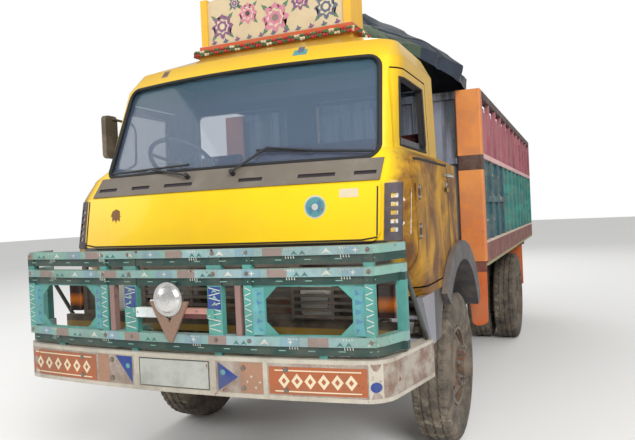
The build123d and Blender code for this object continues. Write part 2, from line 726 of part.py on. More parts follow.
# Front lid, hinged along its top edge, with the grey scuttle panel above it
with BuildPart() as front_lid:
    add(cab_form(-26))
    add(cab_form(-5), mode=Mode.SUBTRACT)
    with BuildSketch(across(aft(300))):
        with Locations((0, (LID_BOTTOM + LID_TOP) / 2)):
            Rectangle(2 * LID_HALF, LID_TOP - LID_BOTTOM)
        fillet(vertices().group_by(Axis.Y)[0], 60)
        fillet(vertices().group_by(Axis.Y)[-1], 12)
    extrude(amount=-400, mode=Mode.INTERSECT)
finish_part(front_lid, "front_lid")

SCUTTLE_PROUD = 8
with BuildPart() as scuttle_panel:
    add(cab_form(-SCUTTLE_PROUD))
    add(cab_outer, mode=Mode.SUBTRACT)
    with BuildSketch(across(aft(300))):
        with Locations((0, 1824)):
            Rectangle(1930, 124)
        for x, width in ((-850, 170), (-560, 150), (-265, 210), (225, 150), (615, 210), (880, 120)):
            with Locations((x, 1806)):
                Rectangle(width, 20, mode=Mode.SUBTRACT)
    extrude(amount=-600, mode=Mode.INTERSECT)

with BuildPart() as vent_panels:
    add(cab_form(-8))
    add(cab_outer, mode=Mode.SUBTRACT)
    with BuildSketch(across(aft(300))):
        for side in (-1, 1):
            with Locations((side * 1035, 1592)):
                Rectangle(86, 300)
            for number in range(5):
                with Locations((side * 1042, 1500 + number * 44)):
                    Rectangle(40, 26, mode=Mode.SUBTRACT)
    extrude(amount=-320, mode=Mode.INTERSECT)
    add(scuttle_panel.part)
finish_part(vent_panels, "vent_panels")

# Wipers: spindle, arm and blade, lying just ahead of the glass
SCUTTLE_NORMAL = Vector(0, -(1885 - 1755), 525 - 450).normalized()


def ahead(point, gap):
    """A point this far ahead of the cab's front skin, from its X and height."""
    return (point[0], aft(cab_front(*point) - gap), point[1])


WIPERS = (
    # spindle x z, elbow x z, blade from x z, blade to x z
    ((110, 1845), (300, 1985), (235, 1975), (905, 1925)),
    ((-200, 1845), (-520, 1920), (-215, 1925), (-865, 1915)),
)
with BuildPart() as wipers:
    for spindle, elbow, tip_a, tip_b in WIPERS:
        foot = Vector(*ahead(spindle, SCUTTLE_PROUD + 1))
        rod(tuple(foot), tuple(foot + SCUTTLE_NORMAL * 36), 14)
        rod(tuple(foot + SCUTTLE_NORMAL * 28), ahead(elbow, 22), 7)
        rod(ahead(tip_a, 16), ahead(tip_b, 16), 7)
        rod(ahead(elbow, 22), ahead(((tip_a[0] + tip_b[0]) / 2, (tip_a[1] + tip_b[1]) / 2), 18), 6)
finish_part(wipers, "wipers")

# Doors: the cab's own skin within the outline, with the window cut out, and their glass
CAB_HALF = 1130
HINGE_HEIGHTS = (1480, 1690)
with BuildPart() as door_left:
    add(cab_outer)
    add(cab_inner, mode=Mode.SUBTRACT)
    side_cut(door_outline(0), 1, 940, Mode.INTERSECT)
    side_cut(door_window(0), 1, 940, Mode.SUBTRACT)
    block((1128, 1146), (aft(1370), aft(1455)), (1700, 1726))
    pin_y = aft(HINGE_Y + 8)
    for z in HINGE_HEIGHTS:
        rod((CAB_HALF, pin_y, z - 45), (CAB_HALF, pin_y, z + 45), 8)
        block((CAB_HALF - 38, CAB_HALF), (pin_y - 4, pin_y + 4), (z - 45, z + 45))
finish_part(door_left, "door_left")
mirrored(door_left, "door_right")

LOWERED_GLASS = 2010
with BuildPart() as door_glass_left:
    add(cab_form(16))
    add(cab_form(22), mode=Mode.SUBTRACT)
    side_cut(door_window(0), 1, 940, Mode.INTERSECT)
    block((800, 1200), (aft(600), aft(1500)), (LOWERED_GLASS, 2400), Mode.SUBTRACT)
finish_part(door_glass_left, "door_glass_left")

with BuildPart() as door_glass_right:
    add(cab_form(16))
    add(cab_form(22), mode=Mode.SUBTRACT)
    side_cut(door_window(0), -1, 940, Mode.INTERSECT)
finish_part(door_glass_right, "door_glass_right")

# Mirror on a bent tube from the right door
MIRROR_X = -1149
with BuildPart() as mirror_right:
    pipe(
        (
            (MIRROR_X, aft(890), 1815),
            (MIRROR_X, aft(890), 1900),
            (MIRROR_X, aft(1200), 2030),
            (MIRROR_X, aft(1210), 2330),
            (MIRROR_X, aft(960), 2345),
        ),
        60,
        9,
    )
    block((MIRROR_X - 9, -1130), (aft(868), aft(912)), (1780, 1850))
    with BuildSketch(beside(-1191)):
        with Locations((aft(955), 2215)):
            RectangleRounded(124, 304, 30)
    extrude(amount=38)
finish_part(mirror_right, "mirror_right")

# Wheel arches: liner, outer flare, inner wall and the grey step panel ahead
with BuildPart() as wheel_arches:
    front_end, rear_end = 159, 38
    arch_rings = (
        # inner and outer radius, inner and outer side
        (ARCH_R, ARCH_R + CAB_WALL, 740, 1130),
        (ARCH_R, 750, 1130, 1165),
    )
    for inner_r, outer_r, low_x, high_x in arch_rings:
        with BuildSketch(beside(low_x)):
            with BuildLine():
                inner_arc = CenterArc((FRONT_AXLE, ARCH_Z), inner_r, 180 - front_end, front_end - rear_end)
                outer_arc = CenterArc((FRONT_AXLE, ARCH_Z), outer_r, 180 - front_end, front_end - rear_end)
                Line(inner_arc @ 0, outer_arc @ 0)
                Line(inner_arc @ 1, outer_arc @ 1)
            make_face()
        extrude(amount=high_x - low_x)
    with BuildSketch(beside(740)):
        with Locations((FRONT_AXLE, ARCH_Z)):
            Circle(ARCH_R + CAB_WALL)
        with Locations((FRONT_AXLE, 500)):
            Rectangle(2000, 1240, mode=Mode.SUBTRACT)
    extrude(amount=20)
    foot = ARCH_R + CAB_WALL
    with BuildSketch(beside(1085)):
        with BuildLine():
            low_y = FRONT_AXLE - math.sqrt(foot**2 - (825 - ARCH_Z) ** 2)
            high_y = FRONT_AXLE - math.sqrt(foot**2 - (1120 - ARCH_Z) ** 2)
            mid_z = 985
            mid_y = FRONT_AXLE - math.sqrt(foot**2 - (mid_z - ARCH_Z) ** 2)
            Polyline((high_y, CAB_FLOOR), (aft(690), CAB_FLOOR), (aft(885), 825), (low_y, 825))
            ThreePointArc((low_y, 825), (mid_y, mid_z), (high_y, 1120))
        make_face()
    extrude(amount=40)
    block((900, 1085), (aft(900), aft(1040)), (835, 855))
    block((900, 1085), (aft(800), aft(1100)), (985, 1005))
    mirror(about=Plane.YZ)
finish_part(wheel_arches, "wheel_arches")

# Cab inside: dashboard with the steering column, steering wheel on the right, seats on frames
STEER_CENTRE = Vector(-550, aft(940), 1980)
STEER_R = 225
STEER_AXIS = Vector(0, math.cos(math.radians(50)), math.sin(math.radians(50)))

# Clear of the doors' front edges as they swing in round the cab's corners
DASH_HALF = 935
with BuildPart() as dashboard:
    add(cab_inner)
    block((-DASH_HALF, DASH_HALF), (aft(300), aft(860)), (1560, 1872), Mode.INTERSECT)
    fillet(edges().filter_by(Axis.X).group_by(Axis.Y)[-1], 35)
    rod(tuple(STEER_CENTRE - STEER_AXIS * 320), tuple(STEER_CENTRE - STEER_AXIS * 66), 36)
    block((-790, -330), (aft(770), aft(855)), (1850, 1925))
finish_part(dashboard, "dashboard")

with BuildPart() as steering_wheel:
    wheel_plane = Plane(origin=STEER_CENTRE, x_dir=(1, 0, 0), z_dir=STEER_AXIS)
    with BuildSketch(Plane(origin=STEER_CENTRE, x_dir=(1, 0, 0), z_dir=wheel_plane.y_dir)) as grip:
        with Locations((STEER_R, 0)):
            RegularPolygon(15, 8)
    revolve(grip.sketch, axis=Axis(STEER_CENTRE, STEER_AXIS), revolution_arc=360)
    rod(tuple(STEER_CENTRE - STEER_AXIS * 60), tuple(STEER_CENTRE + STEER_AXIS * 6), 42)
    for turn in (90, 210, 330):
        reach = math.radians(turn)
        tip = wheel_plane.from_local_coords(Vector(math.cos(reach), math.sin(reach), 0) * (STEER_R - 4))
        rod(tuple(STEER_CENTRE - STEER_AXIS * 14), tuple(tip), 11)
finish_part(steering_wheel, "steering_wheel")

SEAT_FRONT = 1095
SEATS = (
    # left and right edges, cushion top, legs outside the engine cover and inside the wheel arches
    (-880, -460, 1640, ((-735, -700), (-500, -460))),
    (-400, 960, 1660, ((700, 735),)),
)
with BuildPart() as seat_frames:
    for left, right, top, legs in SEATS:
        low = CAB_FLOOR + CAB_WALL
        front_y, back_y = aft(SEAT_FRONT + 30), aft(SEAT_FRONT + 480)
        post_y = (aft(SEAT_FRONT + 600), aft(SEAT_FRONT + 620))
        for x in legs:
            block(x, (front_y, back_y), (low, top - 130))
        block((left, right), (front_y, back_y), (top - 130, top - 110))
        block((left, right), post_y, (top - 130, top + 330))
        block((left, right), (back_y, post_y[1]), (top - 130, top - 110))
    for x in ((-380, -340), (340, 380)):
        block(x, (front_y, back_y), (1520, 1530))
finish_part(seat_frames, "seat_frames")

with BuildPart() as seats:
    for left, right, top, legs in SEATS:
        block((left, right), (aft(SEAT_FRONT), aft(SEAT_FRONT + 495)), (top - 110, top))
        block((left, right), (aft(SEAT_FRONT + 500), aft(SEAT_FRONT + 600)), (top - 60, top + 480))
    fillet(edges().filter_by(Axis.X), 38)
finish_part(seats, "seats")

# Headboard on the roof: arched front board, stepped moulding, side returns
BOARD_Y = 1310
BOARD_LOW = 2850
BOARD_HALF = 565
BOARD_REAR = 1590
ROOF_TOP = 2740
with BuildPart() as headboard:
    with BuildSketch(across(aft(BOARD_Y))):
        with BuildLine():
            Polyline(
                (-300, 3225),
                (-BOARD_HALF, 3160),
                (-BOARD_HALF, BOARD_LOW),
                (BOARD_HALF, BOARD_LOW),
                (BOARD_HALF, 3160),
                (300, 3225),
            )
            ThreePointArc((300, 3225), (0, 3400), (-300, 3225))
        make_face()
    extrude(amount=-30)
    for low, high, out in ((ROOF_TOP, 2775, 595), (2775, 2815, 618), (2815, BOARD_LOW, 592)):
        reach = out - BOARD_HALF
        block((-out, out), (aft(BOARD_Y - reach), aft(BOARD_REAR)), (low, high))
        block((-out + 75, out - 75), (aft(BOARD_Y + 45), aft(BOARD_REAR + 10)), (low, high), Mode.SUBTRACT)
    for side in (-1, 1):
        return_x = sorted((side * (BOARD_HALF - 25), side * BOARD_HALF))
        block(return_x, (aft(BOARD_Y), aft(BOARD_REAR - 5)), (BOARD_LOW, 3080))
        post_x = sorted((side * (BOARD_HALF - 38), side * (BOARD_HALF + 15)))
        block(post_x, (aft(BOARD_Y - 14), aft(BOARD_Y + 44)), (BOARD_LOW, 3190))
finish_part(headboard, "headboard")

# Folded tarpaulin: one closed solid over the cab's rear and the body's front
TARP_STAGES = (
    # y, half width, underside, shoulder height, crown height
    (1640, 600, 2760, 3000, 3090),
    (2060, 860, 2760, 2960, 3220),
    (2420, 1150, 2575, 2860, 3330),
    (2900, 1120, 2575, 2800, 3240),
)
with BuildPart() as tarp_bundle:
    outlines = []
    for d, half, under, shoulder, crown in TARP_STAGES:
        with BuildSketch(across(aft(d))) as outline:
            with BuildLine():
                side_z = (under + shoulder) / 2 - 60
                haunch = crown - 0.2 * (crown - shoulder)
                right = ((half * 0.45, haunch), (half * 0.8, shoulder), (half, side_z), (half - 40, under))
                left = [(-x, z) for x, z in reversed(right)]
                Polyline((0, crown), *right, *left, close=True)
            make_face()
        outlines.append(outline.sketch)
    loft(outlines, ruled=True)
finish_part(tarp_bundle, "tarp_bundle")

# Load body floor: two timbers on the frame, cross bearers and planks
with BuildPart() as load_floor:
    for side in (-1, 1):
        limits = sorted((side * 350, side * RAIL_X))
        block(limits, (aft(SIDE_FRONT), aft(7500)), (RAIL_TOP, FLOOR_LOW))
    for number in range(10):
        d = SIDE_FRONT + 40 + number * 528
        block((-1140, 1140), (aft(d), aft(d + 60)), (FLOOR_LOW, 1280))
    for number in range(9):
        low = -1131 + number * 251.5
        block((low, low + 250), (aft(SIDE_FRONT), aft(SILL_REAR - 62)), (1280, FLOOR_TOP))
finish_part(load_floor, "load_floor")

# Floor rails: side channels, front member and rear sill with the tailgate's hinge pins
GATE_HINGES = (-900, -320, 320, 900)
with BuildPart() as floor_rails:
    for side in (-1, 1):
        limits = sorted((side * 1140, side * HALF_WIDTH))
        block(limits, (aft(SIDE_FRONT), aft(SILL_REAR)), (FLOOR_LOW, FLOOR_TOP))
        groove = sorted((side * 1100, side * 1180))
        block(groove, (aft(SIDE_FRONT), aft(SILL_REAR - 60)), (FLOOR_LOW + 14, FLOOR_TOP - 14), Mode.SUBTRACT)
    block((-1140, 1140), (aft(SILL_REAR - 60), aft(SILL_REAR)), (FLOOR_LOW, FLOOR_TOP))
    for x in GATE_HINGES:
        for way in (-1, 1):
            lug = sorted((x + way * 36, x + way * 60))
            block(lug, (aft(SILL_REAR), aft(GATE_HINGE_Y)), (GATE_HINGE_Z - 14, GATE_HINGE_Z + 14))
        rod((x - 60, aft(GATE_HINGE_Y), GATE_HINGE_Z), (x - 36, aft(GATE_HINGE_Y), GATE_HINGE_Z), 14)
        rod((x + 36, aft(GATE_HINGE_Y), GATE_HINGE_Z), (x + 60, aft(GATE_HINGE_Y), GATE_HINGE_Z), 14)
        rod((x - 50, aft(GATE_HINGE_Y), GATE_HINGE_Z), (x + 50, aft(GATE_HINGE_Y), GATE_HINGE_Z), 6.95)
finish_part(floor_rails, "floor_rails")

# Body ends: the front wall with its two wide corner posts, and the rear top rail
with BuildPart() as body_ends:
    block((-1000, 1000), (aft(2640), aft(2670)), (FLOOR_LOW, TOP_RAIL))
    block((-1000, 1000), (aft(2610), aft(2675)), (TOP_RAIL, BODY_TOP))
    block((-1000, 1000), (aft(2610), aft(2670)), (1960, 2010))
    for x in (-660, -330, 0, 330, 660):
        block((x - 25, x + 25), (aft(2610), aft(2640)), (FLOOR_LOW, TOP_RAIL))
    for side in (-1, 1):
        block(sorted((side * 1000, side * HALF_WIDTH)), (aft(BODY_FRONT), aft(SIDE_FRONT)), (1150, BODY_TOP))
    fillet(edges().filter_by(Axis.Z).group_by(Axis.Y)[0], 12)
    block((-1130, 1130), (aft(7575), aft(7625)), (TOP_RAIL, BODY_TOP))
finish_part(body_ends, "body_ends")

# Slatted sides: lower boards, mid rail, upper slats with open tops, stakes and top rail
STAKES = 11
STAKE_FIRST = SIDE_FRONT + 45
STAKE_PITCH = (7550 - STAKE_FIRST) / STAKES
with BuildPart() as side_left:
    span = (aft(SIDE_FRONT), aft(7560))
    for number in range(5):
        low = FLOOR_TOP + number * 135.8
        block((1148, 1174), span, (low, low + 133))
    block((1148, 1162), span, (FLOOR_TOP, MID_RAIL))
    block((1140, HALF_WIDTH), span, (MID_RAIL, MID_RAIL + 42))
    block((1140, HALF_WIDTH), span, (TOP_RAIL, BODY_TOP))
    slats = 3 * STAKES
    pitch = (7550 - SIDE_FRONT) / slats
    for number in range(slats):
        d = SIDE_FRONT + number * pitch
        top = 2440 if number % 3 == 1 else 2412
        block((1156, 1176), (aft(d + 6), aft(d + pitch - 6)), (MID_RAIL + 42, top))
    block((1148, 1160), span, (MID_RAIL + 42, 2400))
    for number in range(STAKES):
        d = STAKE_FIRST + number * STAKE_PITCH
        block((1158, 1196), (aft(d - 26), aft(d + 26)), (FLOOR_TOP, TOP_RAIL))
    block((1174, HALF_WIDTH), (aft(2900), aft(4330)), (1634, 1688))
    block((1130, HALF_WIDTH), (aft(7560), aft(SILL_REAR)), (FLOOR_TOP, BODY_TOP))
with BuildPart() as body_sides:
    add(side_left.part)
    mirror(about=Plane.YZ)
finish_part(body_sides, "body_sides")

# Tailgate, hinged on the rear sill
with BuildPart() as tailgate:
    face = (aft(7585), aft(7625))
    block((-1120, 1120), (aft(7592), aft(7618)), (1330, 1990))
    for z in (1330, 1640, 1935):
        block((-1120, 1120), face, (z, z + 55))
    for x in (-1120, -590, -25, 540, 1070):
        block((x, x + 50), face, (1330, 1990))
    for x in GATE_HINGES:
        block((x - 28, x + 28), (aft(7625), aft(7648)), (1340, 1560))
        block((x - 28, x + 28), (aft(7638), aft(7648)), (GATE_HINGE_Z - 14, 1340))
        block((x - 28, x + 28), (aft(7638), aft(GATE_HINGE_Y)), (GATE_HINGE_Z - 14, GATE_HINGE_Z + 14))
        rod((x - 30, aft(GATE_HINGE_Y), GATE_HINGE_Z), (x + 30, aft(GATE_HINGE_Y), GATE_HINGE_Z), 14)
        pin_at = (aft(GATE_HINGE_Y), GATE_HINGE_Z)
        rod((x - 40, *pin_at), (x + 40, *pin_at), 7, Mode.SUBTRACT)
finish_part(tailgate, "tailgate")

# Splash plates below the front posts and behind the rear wheels
with BuildPart() as splash_plates:
    with BuildSketch(across(aft(2600))):
        with BuildLine():
            Polyline((1020, 1150), (1198, 1150), (1192, 640), (1070, 610), close=True)
        make_face()
        fillet(vertices().group_by(Axis.Y)[0] + vertices().group_by(Axis.Y)[1], 45)
    extrude(amount=-16)
    block((680, 1185), (aft(REAR_WHEEL_D + 660), aft(REAR_WHEEL_D + 676)), (560, FLOOR_LOW))
    mirror(about=Plane.YZ)
finish_part(splash_plates, "splash_plates")
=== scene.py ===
# Looks of the decorated truck: paint, painted ornament, rubber, glass, cloth, tyres and small fittings
import math
import random

import bpy
import bmesh
from mathutils import Matrix, Vector, noise
from mathutils.bvhtree import BVHTree


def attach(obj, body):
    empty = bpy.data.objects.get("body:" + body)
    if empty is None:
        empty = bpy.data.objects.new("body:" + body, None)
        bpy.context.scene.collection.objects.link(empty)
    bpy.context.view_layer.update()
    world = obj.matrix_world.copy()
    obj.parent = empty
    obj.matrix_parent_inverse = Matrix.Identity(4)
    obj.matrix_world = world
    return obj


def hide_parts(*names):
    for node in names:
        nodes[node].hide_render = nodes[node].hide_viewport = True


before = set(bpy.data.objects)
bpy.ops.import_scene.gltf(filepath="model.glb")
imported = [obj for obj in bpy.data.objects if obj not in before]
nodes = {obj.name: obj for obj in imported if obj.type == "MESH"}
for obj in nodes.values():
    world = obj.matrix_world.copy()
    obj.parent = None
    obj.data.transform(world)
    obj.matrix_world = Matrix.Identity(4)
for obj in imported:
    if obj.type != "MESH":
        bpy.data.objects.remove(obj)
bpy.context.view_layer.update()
MM = 0.001


def aft_mm(distance):
    """Y in millimetres of a point this many millimetres behind the guard's front face."""
    return distance - 3827.5


def aft(distance):
    """The same place in metres."""
    return aft_mm(distance) * MM


def colour(screen):
    """A linear colour from the red, green and blue of a screen, each from 0 to 255."""
    values = []
    for value in screen:
        share = value / 255
        values.append(share / 12.92 if share <= 0.04045 else ((share + 0.055) / 1.055) ** 2.4)
    return (*values, 1.0)


# Colours as they look on a screen
YELLOW = (245, 206, 5)
PALE_ROOF = (166, 120, 36)
RUST = (112, 54, 24)
DARK_RUST = (66, 36, 24)
DUST = (150, 134, 112)
GRIME = (96, 92, 80)
SOOT = (26, 25, 25)
RUBBER = (24, 24, 25)
MINT = (122, 158, 146)
PALE_BLUE = (138, 164, 166)
TEAL = (66, 132, 124)
SHADED_TEAL = (24, 58, 52)
ORANGE = (204, 98, 40)
CREAM = (208, 188, 152)
OFF_WHITE = (168, 160, 148)
PINK = (174, 100, 110)
MAUVE = (126, 100, 84)
GREY = (118, 116, 112)
WALL_GREY = (62, 68, 78)


# Shader graphs
BAND_EDGE = 0.0008


class Graph:
    """A material's node graph around one Principled shader, in the object's own coordinates."""

    def __init__(self, name):
        self.material = bpy.data.materials.new(name)
        self.material.use_nodes = True
        self.tree = self.material.node_tree
        self.shader = self.tree.nodes["Principled BSDF"]
        self.place = self.node("ShaderNodeTexCoord").outputs["Object"]
        self.x, self.y, self.z = self.node("ShaderNodeSeparateXYZ", (self.place,)).outputs

    def node(self, kind, sources=(), **settings):
        """A new node with its settings, and its inputs in order or by name."""
        made = self.tree.nodes.new(kind)
        for key, value in settings.items():
            setattr(made, key, value)
        for key, source in sources.items() if isinstance(sources, dict) else enumerate(sources):
            self.link(source, made.inputs[key])
        return made

    def link(self, source, target):
        """Joins an output to an input, or sets the input's value. A tuple is a screen colour."""
        if isinstance(source, bpy.types.NodeSocket):
            self.tree.links.new(source, target)
        else:
            target.default_value = colour(source) if isinstance(source, tuple) else source

    def math(self, operation, *values):
        return self.node("ShaderNodeMath", values, operation=operation).outputs[0]

    def stretch(self, *factors):
        """The object's coordinates multiplied along each axis."""
        sources = {"Vector": self.place, "Scale": Vector(factors)}
        return self.node("ShaderNodeMapping", sources).outputs[0]

    def noise(self, scale, detail=4.0, rough=0.55, vector=None, distort=0.0):
        sources = {"Vector": vector or self.place, "Scale": scale, "Detail": detail}
        sources.update({"Roughness": rough, "Distortion": distort})
        return self.node("ShaderNodeTexNoise", sources).outputs["Fac"]

    def step(self, value, low, high):
        """0 below low, 1 above high, and even between."""
        sources = {"Value": value, "From Min": low, "From Max": high}
        return self.node("ShaderNodeMapRange", sources, clamp=True).outputs[0]

    def blotch(self, scale, low, high, detail=4.0, rough=0.55):
        """A noise cut between two levels."""
        return self.step(self.noise(scale, detail, rough), low, high)

    def rise(self, low, high):
        """0 below one height, 1 above the other, and even between."""
        return self.step(self.z, low, high)

    def width(self):
        """Distance from the truck's centre plane."""
        return self.math("ABSOLUTE", self.x)

    def band(self, value, low, high):
        """1 between two values and 0 outside."""
        from_low = self.step(value, low - BAND_EDGE, low + BAND_EDGE)
        return self.both(from_low, self.step(value, high + BAND_EDGE, high - BAND_EDGE))

    def either(self, one, two):
        return self.math("MAXIMUM", one, two)

    def both(self, *masks):
        total = masks[0]
        for mask in masks[1:]:
            total = self.math("MULTIPLY", total, mask)
        return total

    def mix(self, share, first, second):
        sources = {"Factor": share, 6: first, 7: second}
        return self.node("ShaderNodeMix", sources, data_type="RGBA").outputs[2]

    def lay(self, tone, mask, over, share=None):
        """Another colour laid over a tone where a mask is 1."""
        return self.mix(mask if share is None else self.both(mask, share), tone, over)

    def waves(self, direction, scale):
        sources = {"Vector": self.place, "Scale": scale}
        made = self.node("ShaderNodeTexWave", sources, wave_type="BANDS", bands_direction=direction)
        return made.outputs["Fac"]

    def normal(self):
        """The face's normal in the object's own coordinates, which turn with its body."""
        face = self.node("ShaderNodeNewGeometry").outputs["True Normal"]
        turn = {"vector_type": "NORMAL", "convert_from": "WORLD", "convert_to": "OBJECT"}
        return self.node("ShaderNodeVectorTransform", (face,), **turn).outputs[0]

    def facing(self, *spot):
        """How far the surface faces away from a point: below 0 on an inside."""
        offset = self.node("ShaderNodeVectorMath", (self.place, Vector(spot)), operation="SUBTRACT")
        sources = (offset.outputs[0], self.normal())
        return self.node("ShaderNodeVectorMath", sources, operation="DOT_PRODUCT").outputs["Value"]

    def upward(self):
        """How far the surface faces up, from -1 to 1."""
        return self.node("ShaderNodeSeparateXYZ", (self.normal(),)).outputs[2]

    def bump(self, height, strength, distance, normal=None):
        sources = {"Height": height, "Strength": strength, "Distance": distance}
        if normal is not None:
            sources["Normal"] = normal
        return self.node("ShaderNodeBump", sources).outputs[0]

    def set(self, **sockets):
        """Sets or links the shader's sockets, named in lower case with underscores."""
        named = {socket.name.lower().replace(" ", "_"): socket for socket in self.shader.inputs}
        for name, value in sockets.items():
            self.link(value, named[name])
        return self.material


def worn_paint(name, base, *wear, **more):
    """Old brush or spray paint in one colour."""
    return finish_paint(Graph(name), base, *wear, **more)


def finish_paint(graph, base, dirt=DUST, dirt_share=0.35, chips=0.1, under=RUST, rough=0.38):
    """Wears a graph's base colour: uneven tone, dust in the hollows and chips down to rust."""
    broad = graph.noise(1.7, 5, 0.6)
    fine = graph.noise(38, 6, 0.65)
    tone = graph.mix(graph.step(broad, 0.3, 0.75), base, graph.mix(0.22, base, SOOT))
    dusty = graph.both(graph.blotch(6, 0.45, 0.72, 8, 0.7), dirt_share)
    tone = graph.mix(dusty, tone, dirt)
    chipped = graph.step(graph.noise(22, 10, 0.72), 0.66 - 0.18 * chips, 0.69 - 0.18 * chips)
    chipped = graph.both(chipped, graph.blotch(3.1, 0.5, 0.58, 3))
    tone = graph.mix(graph.both(chipped, min(1.0, chips * 4)), tone, under)
    roughness = graph.step(fine, -0.9 + rough * 0.6, 1.9 - rough)
    return graph.set(
        base_color=tone,
        roughness=graph.math("ADD", graph.math("MULTIPLY", roughness, 0.25), rough),
        normal=graph.bump(graph.math("ADD", fine, graph.math("MULTIPLY", chipped, -0.8)), 0.14, 0.0015),
    )


def zoned_paint(name, base, zones, *wear, **more):
    """Worn paint with another colour laid on past a height, as rows of low, high and colour."""
    graph = Graph(name)
    for low, high, over in zones:
        base = graph.mix(graph.rise(low, high), base, over)
    return finish_paint(graph, base, *wear, **more)


def plain(name, base, rough, metallic=0.0, grain=60, depth=0.12, spread=0.4):
    """A finish with fine uneven colour and grain."""
    graph = Graph(name)
    blot = graph.step(graph.noise(grain * 0.12, 5, 0.6), 0.35, 0.7)
    tone = graph.lay(base, blot, graph.mix(0.5, base, SOOT), spread)
    fine = graph.noise(grain, 5, 0.6)
    return graph.set(
        base_color=tone,
        roughness=graph.math("ADD", graph.math("MULTIPLY", fine, 0.2), rough - 0.1),
        metallic=metallic,
        normal=graph.bump(fine, depth, 0.001),
    )


def cab_paint():
    """Strong yellow in front, pale on the roof, dull and streaked with rust on the sides."""
    graph = Graph("cab_paint")
    side = graph.step(graph.width(), 0.985, 1.075)
    roof = graph.rise(2.47, 2.74)
    blotch = graph.noise(3.4, 7, 0.66, distort=0.6)
    tone = graph.mix(graph.blotch(1.3, 0.35, 0.7), YELLOW, (238, 190, 8))
    dull = graph.mix(graph.step(blotch, 0.36, 0.60), (176, 128, 4), (92, 54, 8))
    tone = graph.mix(side, tone, dull)
    pale = graph.mix(side, PALE_ROOF, (112, 84, 46))
    tone = graph.lay(tone, roof, pale, 0.88)
    # painted shade: the A pillars are laid over with a darker yellow
    pillar_shade = graph.both(graph.rise(1.86, 1.98), graph.step(graph.width(), 0.93, 0.99))
    tone = graph.lay(tone, pillar_shade, (150, 112, 22), 0.55)
    drips = graph.noise(9, 7, 0.62, graph.stretch(1.0, 1.9, 0.22), 0.3)
    patch = graph.blotch(2.2, 0.46, 0.62, 5, 0.6)
    streak = graph.both(graph.step(drips, 0.49, 0.60), patch, side)
    tone = graph.lay(tone, streak, (76, 38, 18), 0.9)
    thin = graph.noise(21, 5, 0.6, graph.stretch(1.0, 1.6, 0.10), 0.2)
    thin = graph.both(graph.step(thin, 0.53, 0.61), graph.step(blotch, 0.4, 0.6), side)
    tone = graph.lay(tone, thin, (86, 46, 22), 0.75)
    spots = graph.both(graph.blotch(17, 0.62, 0.67, 9, 0.7), side)
    tone = graph.lay(tone, spots, RUST, 0.8)
    grime = graph.math("ADD", graph.both(side, 0.04), 0.05)
    tone = graph.lay(tone, graph.blotch(5, 0.42, 0.75, 8, 0.7), DUST, grime)
    # painted shade: the cab front below the lid's lower edge, behind the guard, is dark brown
    below = graph.both(graph.rise(1.450, 1.444), graph.step(side, 0.6, 0.1))
    tone = graph.mix(below, tone, (58, 48, 38))
    inside = graph.step(graph.facing(0, aft(1250), 1.95), 0.004, -0.004)
    tone = graph.mix(inside, tone, (44, 40, 40))
    fine = graph.noise(70, 4, 0.5)
    wave = graph.noise(4.5, 2, 0.5)
    rough = graph.math("ADD", graph.both(side, 0.25), graph.math("MULTIPLY_ADD", fine, 0.16, 0.22))
    normal = graph.bump(wave, 0.10, 0.01)
    normal = graph.bump(graph.math("SUBTRACT", fine, graph.both(spots, 1.4)), 0.08, 0.001, normal)
    front = graph.math("SUBTRACT", 1.0, side)
    return graph.set(
        base_color=tone,
        roughness=rough,
        coat_weight=graph.both(front, 0.25),
        specular_ior_level=0.36,
        normal=normal,
    )


# Guard rails, in millimetres: dark strip from (teal paint darkened as painted shade), mint from, mint to,
# first place and pitch of the motifs
GUARD_RAILS = (
    (938, 980, 1024, -1040, 130),
    (1268, 1306, 1346, -1020, 124),
    (1368, 1407, 1446, -1060, 136),
)


def guard_paint():
    """Mint upper strips and dark lower strips on each rail, the dark ones teal paint with painted shade of
    the rail's lower face; teal posts and panels.
    """
    graph = Graph("guard_paint")
    broad = graph.noise(4.2, 4, 0.6)
    tone = graph.mix(graph.step(broad, 0.38, 0.66), TEAL, (84, 156, 146))
    along = graph.noise(3.4, 3, 0.5, graph.stretch(1, 0.1, 0.1))
    bright = graph.mix(graph.step(along, 0.42, 0.6), MINT, PALE_BLUE)
    bright = graph.lay(bright, graph.blotch(14, 0.5, 0.7, 6, 0.6), (92, 168, 156), 0.4)
    for dark, low, high, _, _ in GUARD_RAILS:
        # the dark lower strip: teal paint darkened as painted shade of the rail's lower face
        tone = graph.lay(tone, graph.band(graph.z, dark * MM, low * MM), SHADED_TEAL)
        tone = graph.lay(tone, graph.band(graph.z, low * MM, (high + 2) * MM), bright)
    width = graph.width()
    inner = graph.both(graph.band(width, 0.368, 0.402), graph.band(graph.z, 1.025, 1.267))
    tone = graph.mix(inner, tone, (136, 106, 100))
    bar = graph.both(graph.band(graph.z, 1.10, 1.16), graph.step(width, 0.2175, 0.2165))
    brace = graph.both(graph.step(width, 1.1, 1.101), graph.step(graph.y, aft(306.5), aft(307.5)))
    tone = graph.lay(tone, brace, (52, 44, 42), 0.9)
    arm = graph.mix(graph.rise(1.127, 1.129), (84, 34, 32), (178, 128, 118))
    tone = graph.mix(bar, tone, graph.mix(graph.step(graph.x, -0.02, 0.02), (214, 222, 220), arm))
    return finish_paint(graph, tone, GRIME, 0.5, 0.3, DARK_RUST, 0.36)


def bumper_paint():
    graph = Graph("bumper_paint")
    mottled = graph.mix(graph.blotch(9, 0.40, 0.60, 8, 0.7), OFF_WHITE, (124, 96, 84))
    end = graph.step(graph.width(), 0.96, 1.06)
    tone = graph.mix(end, graph.mix(0.35, mottled, OFF_WHITE), mottled)
    edge = graph.either(graph.band(graph.z, 0.72, 0.746), graph.band(graph.z, 0.904, 0.93))
    tone = graph.lay(tone, edge, (190, 184, 170), 0.85)
    return finish_paint(graph, tone, (104, 86, 72), 0.6, 0.35, RUST, 0.45)


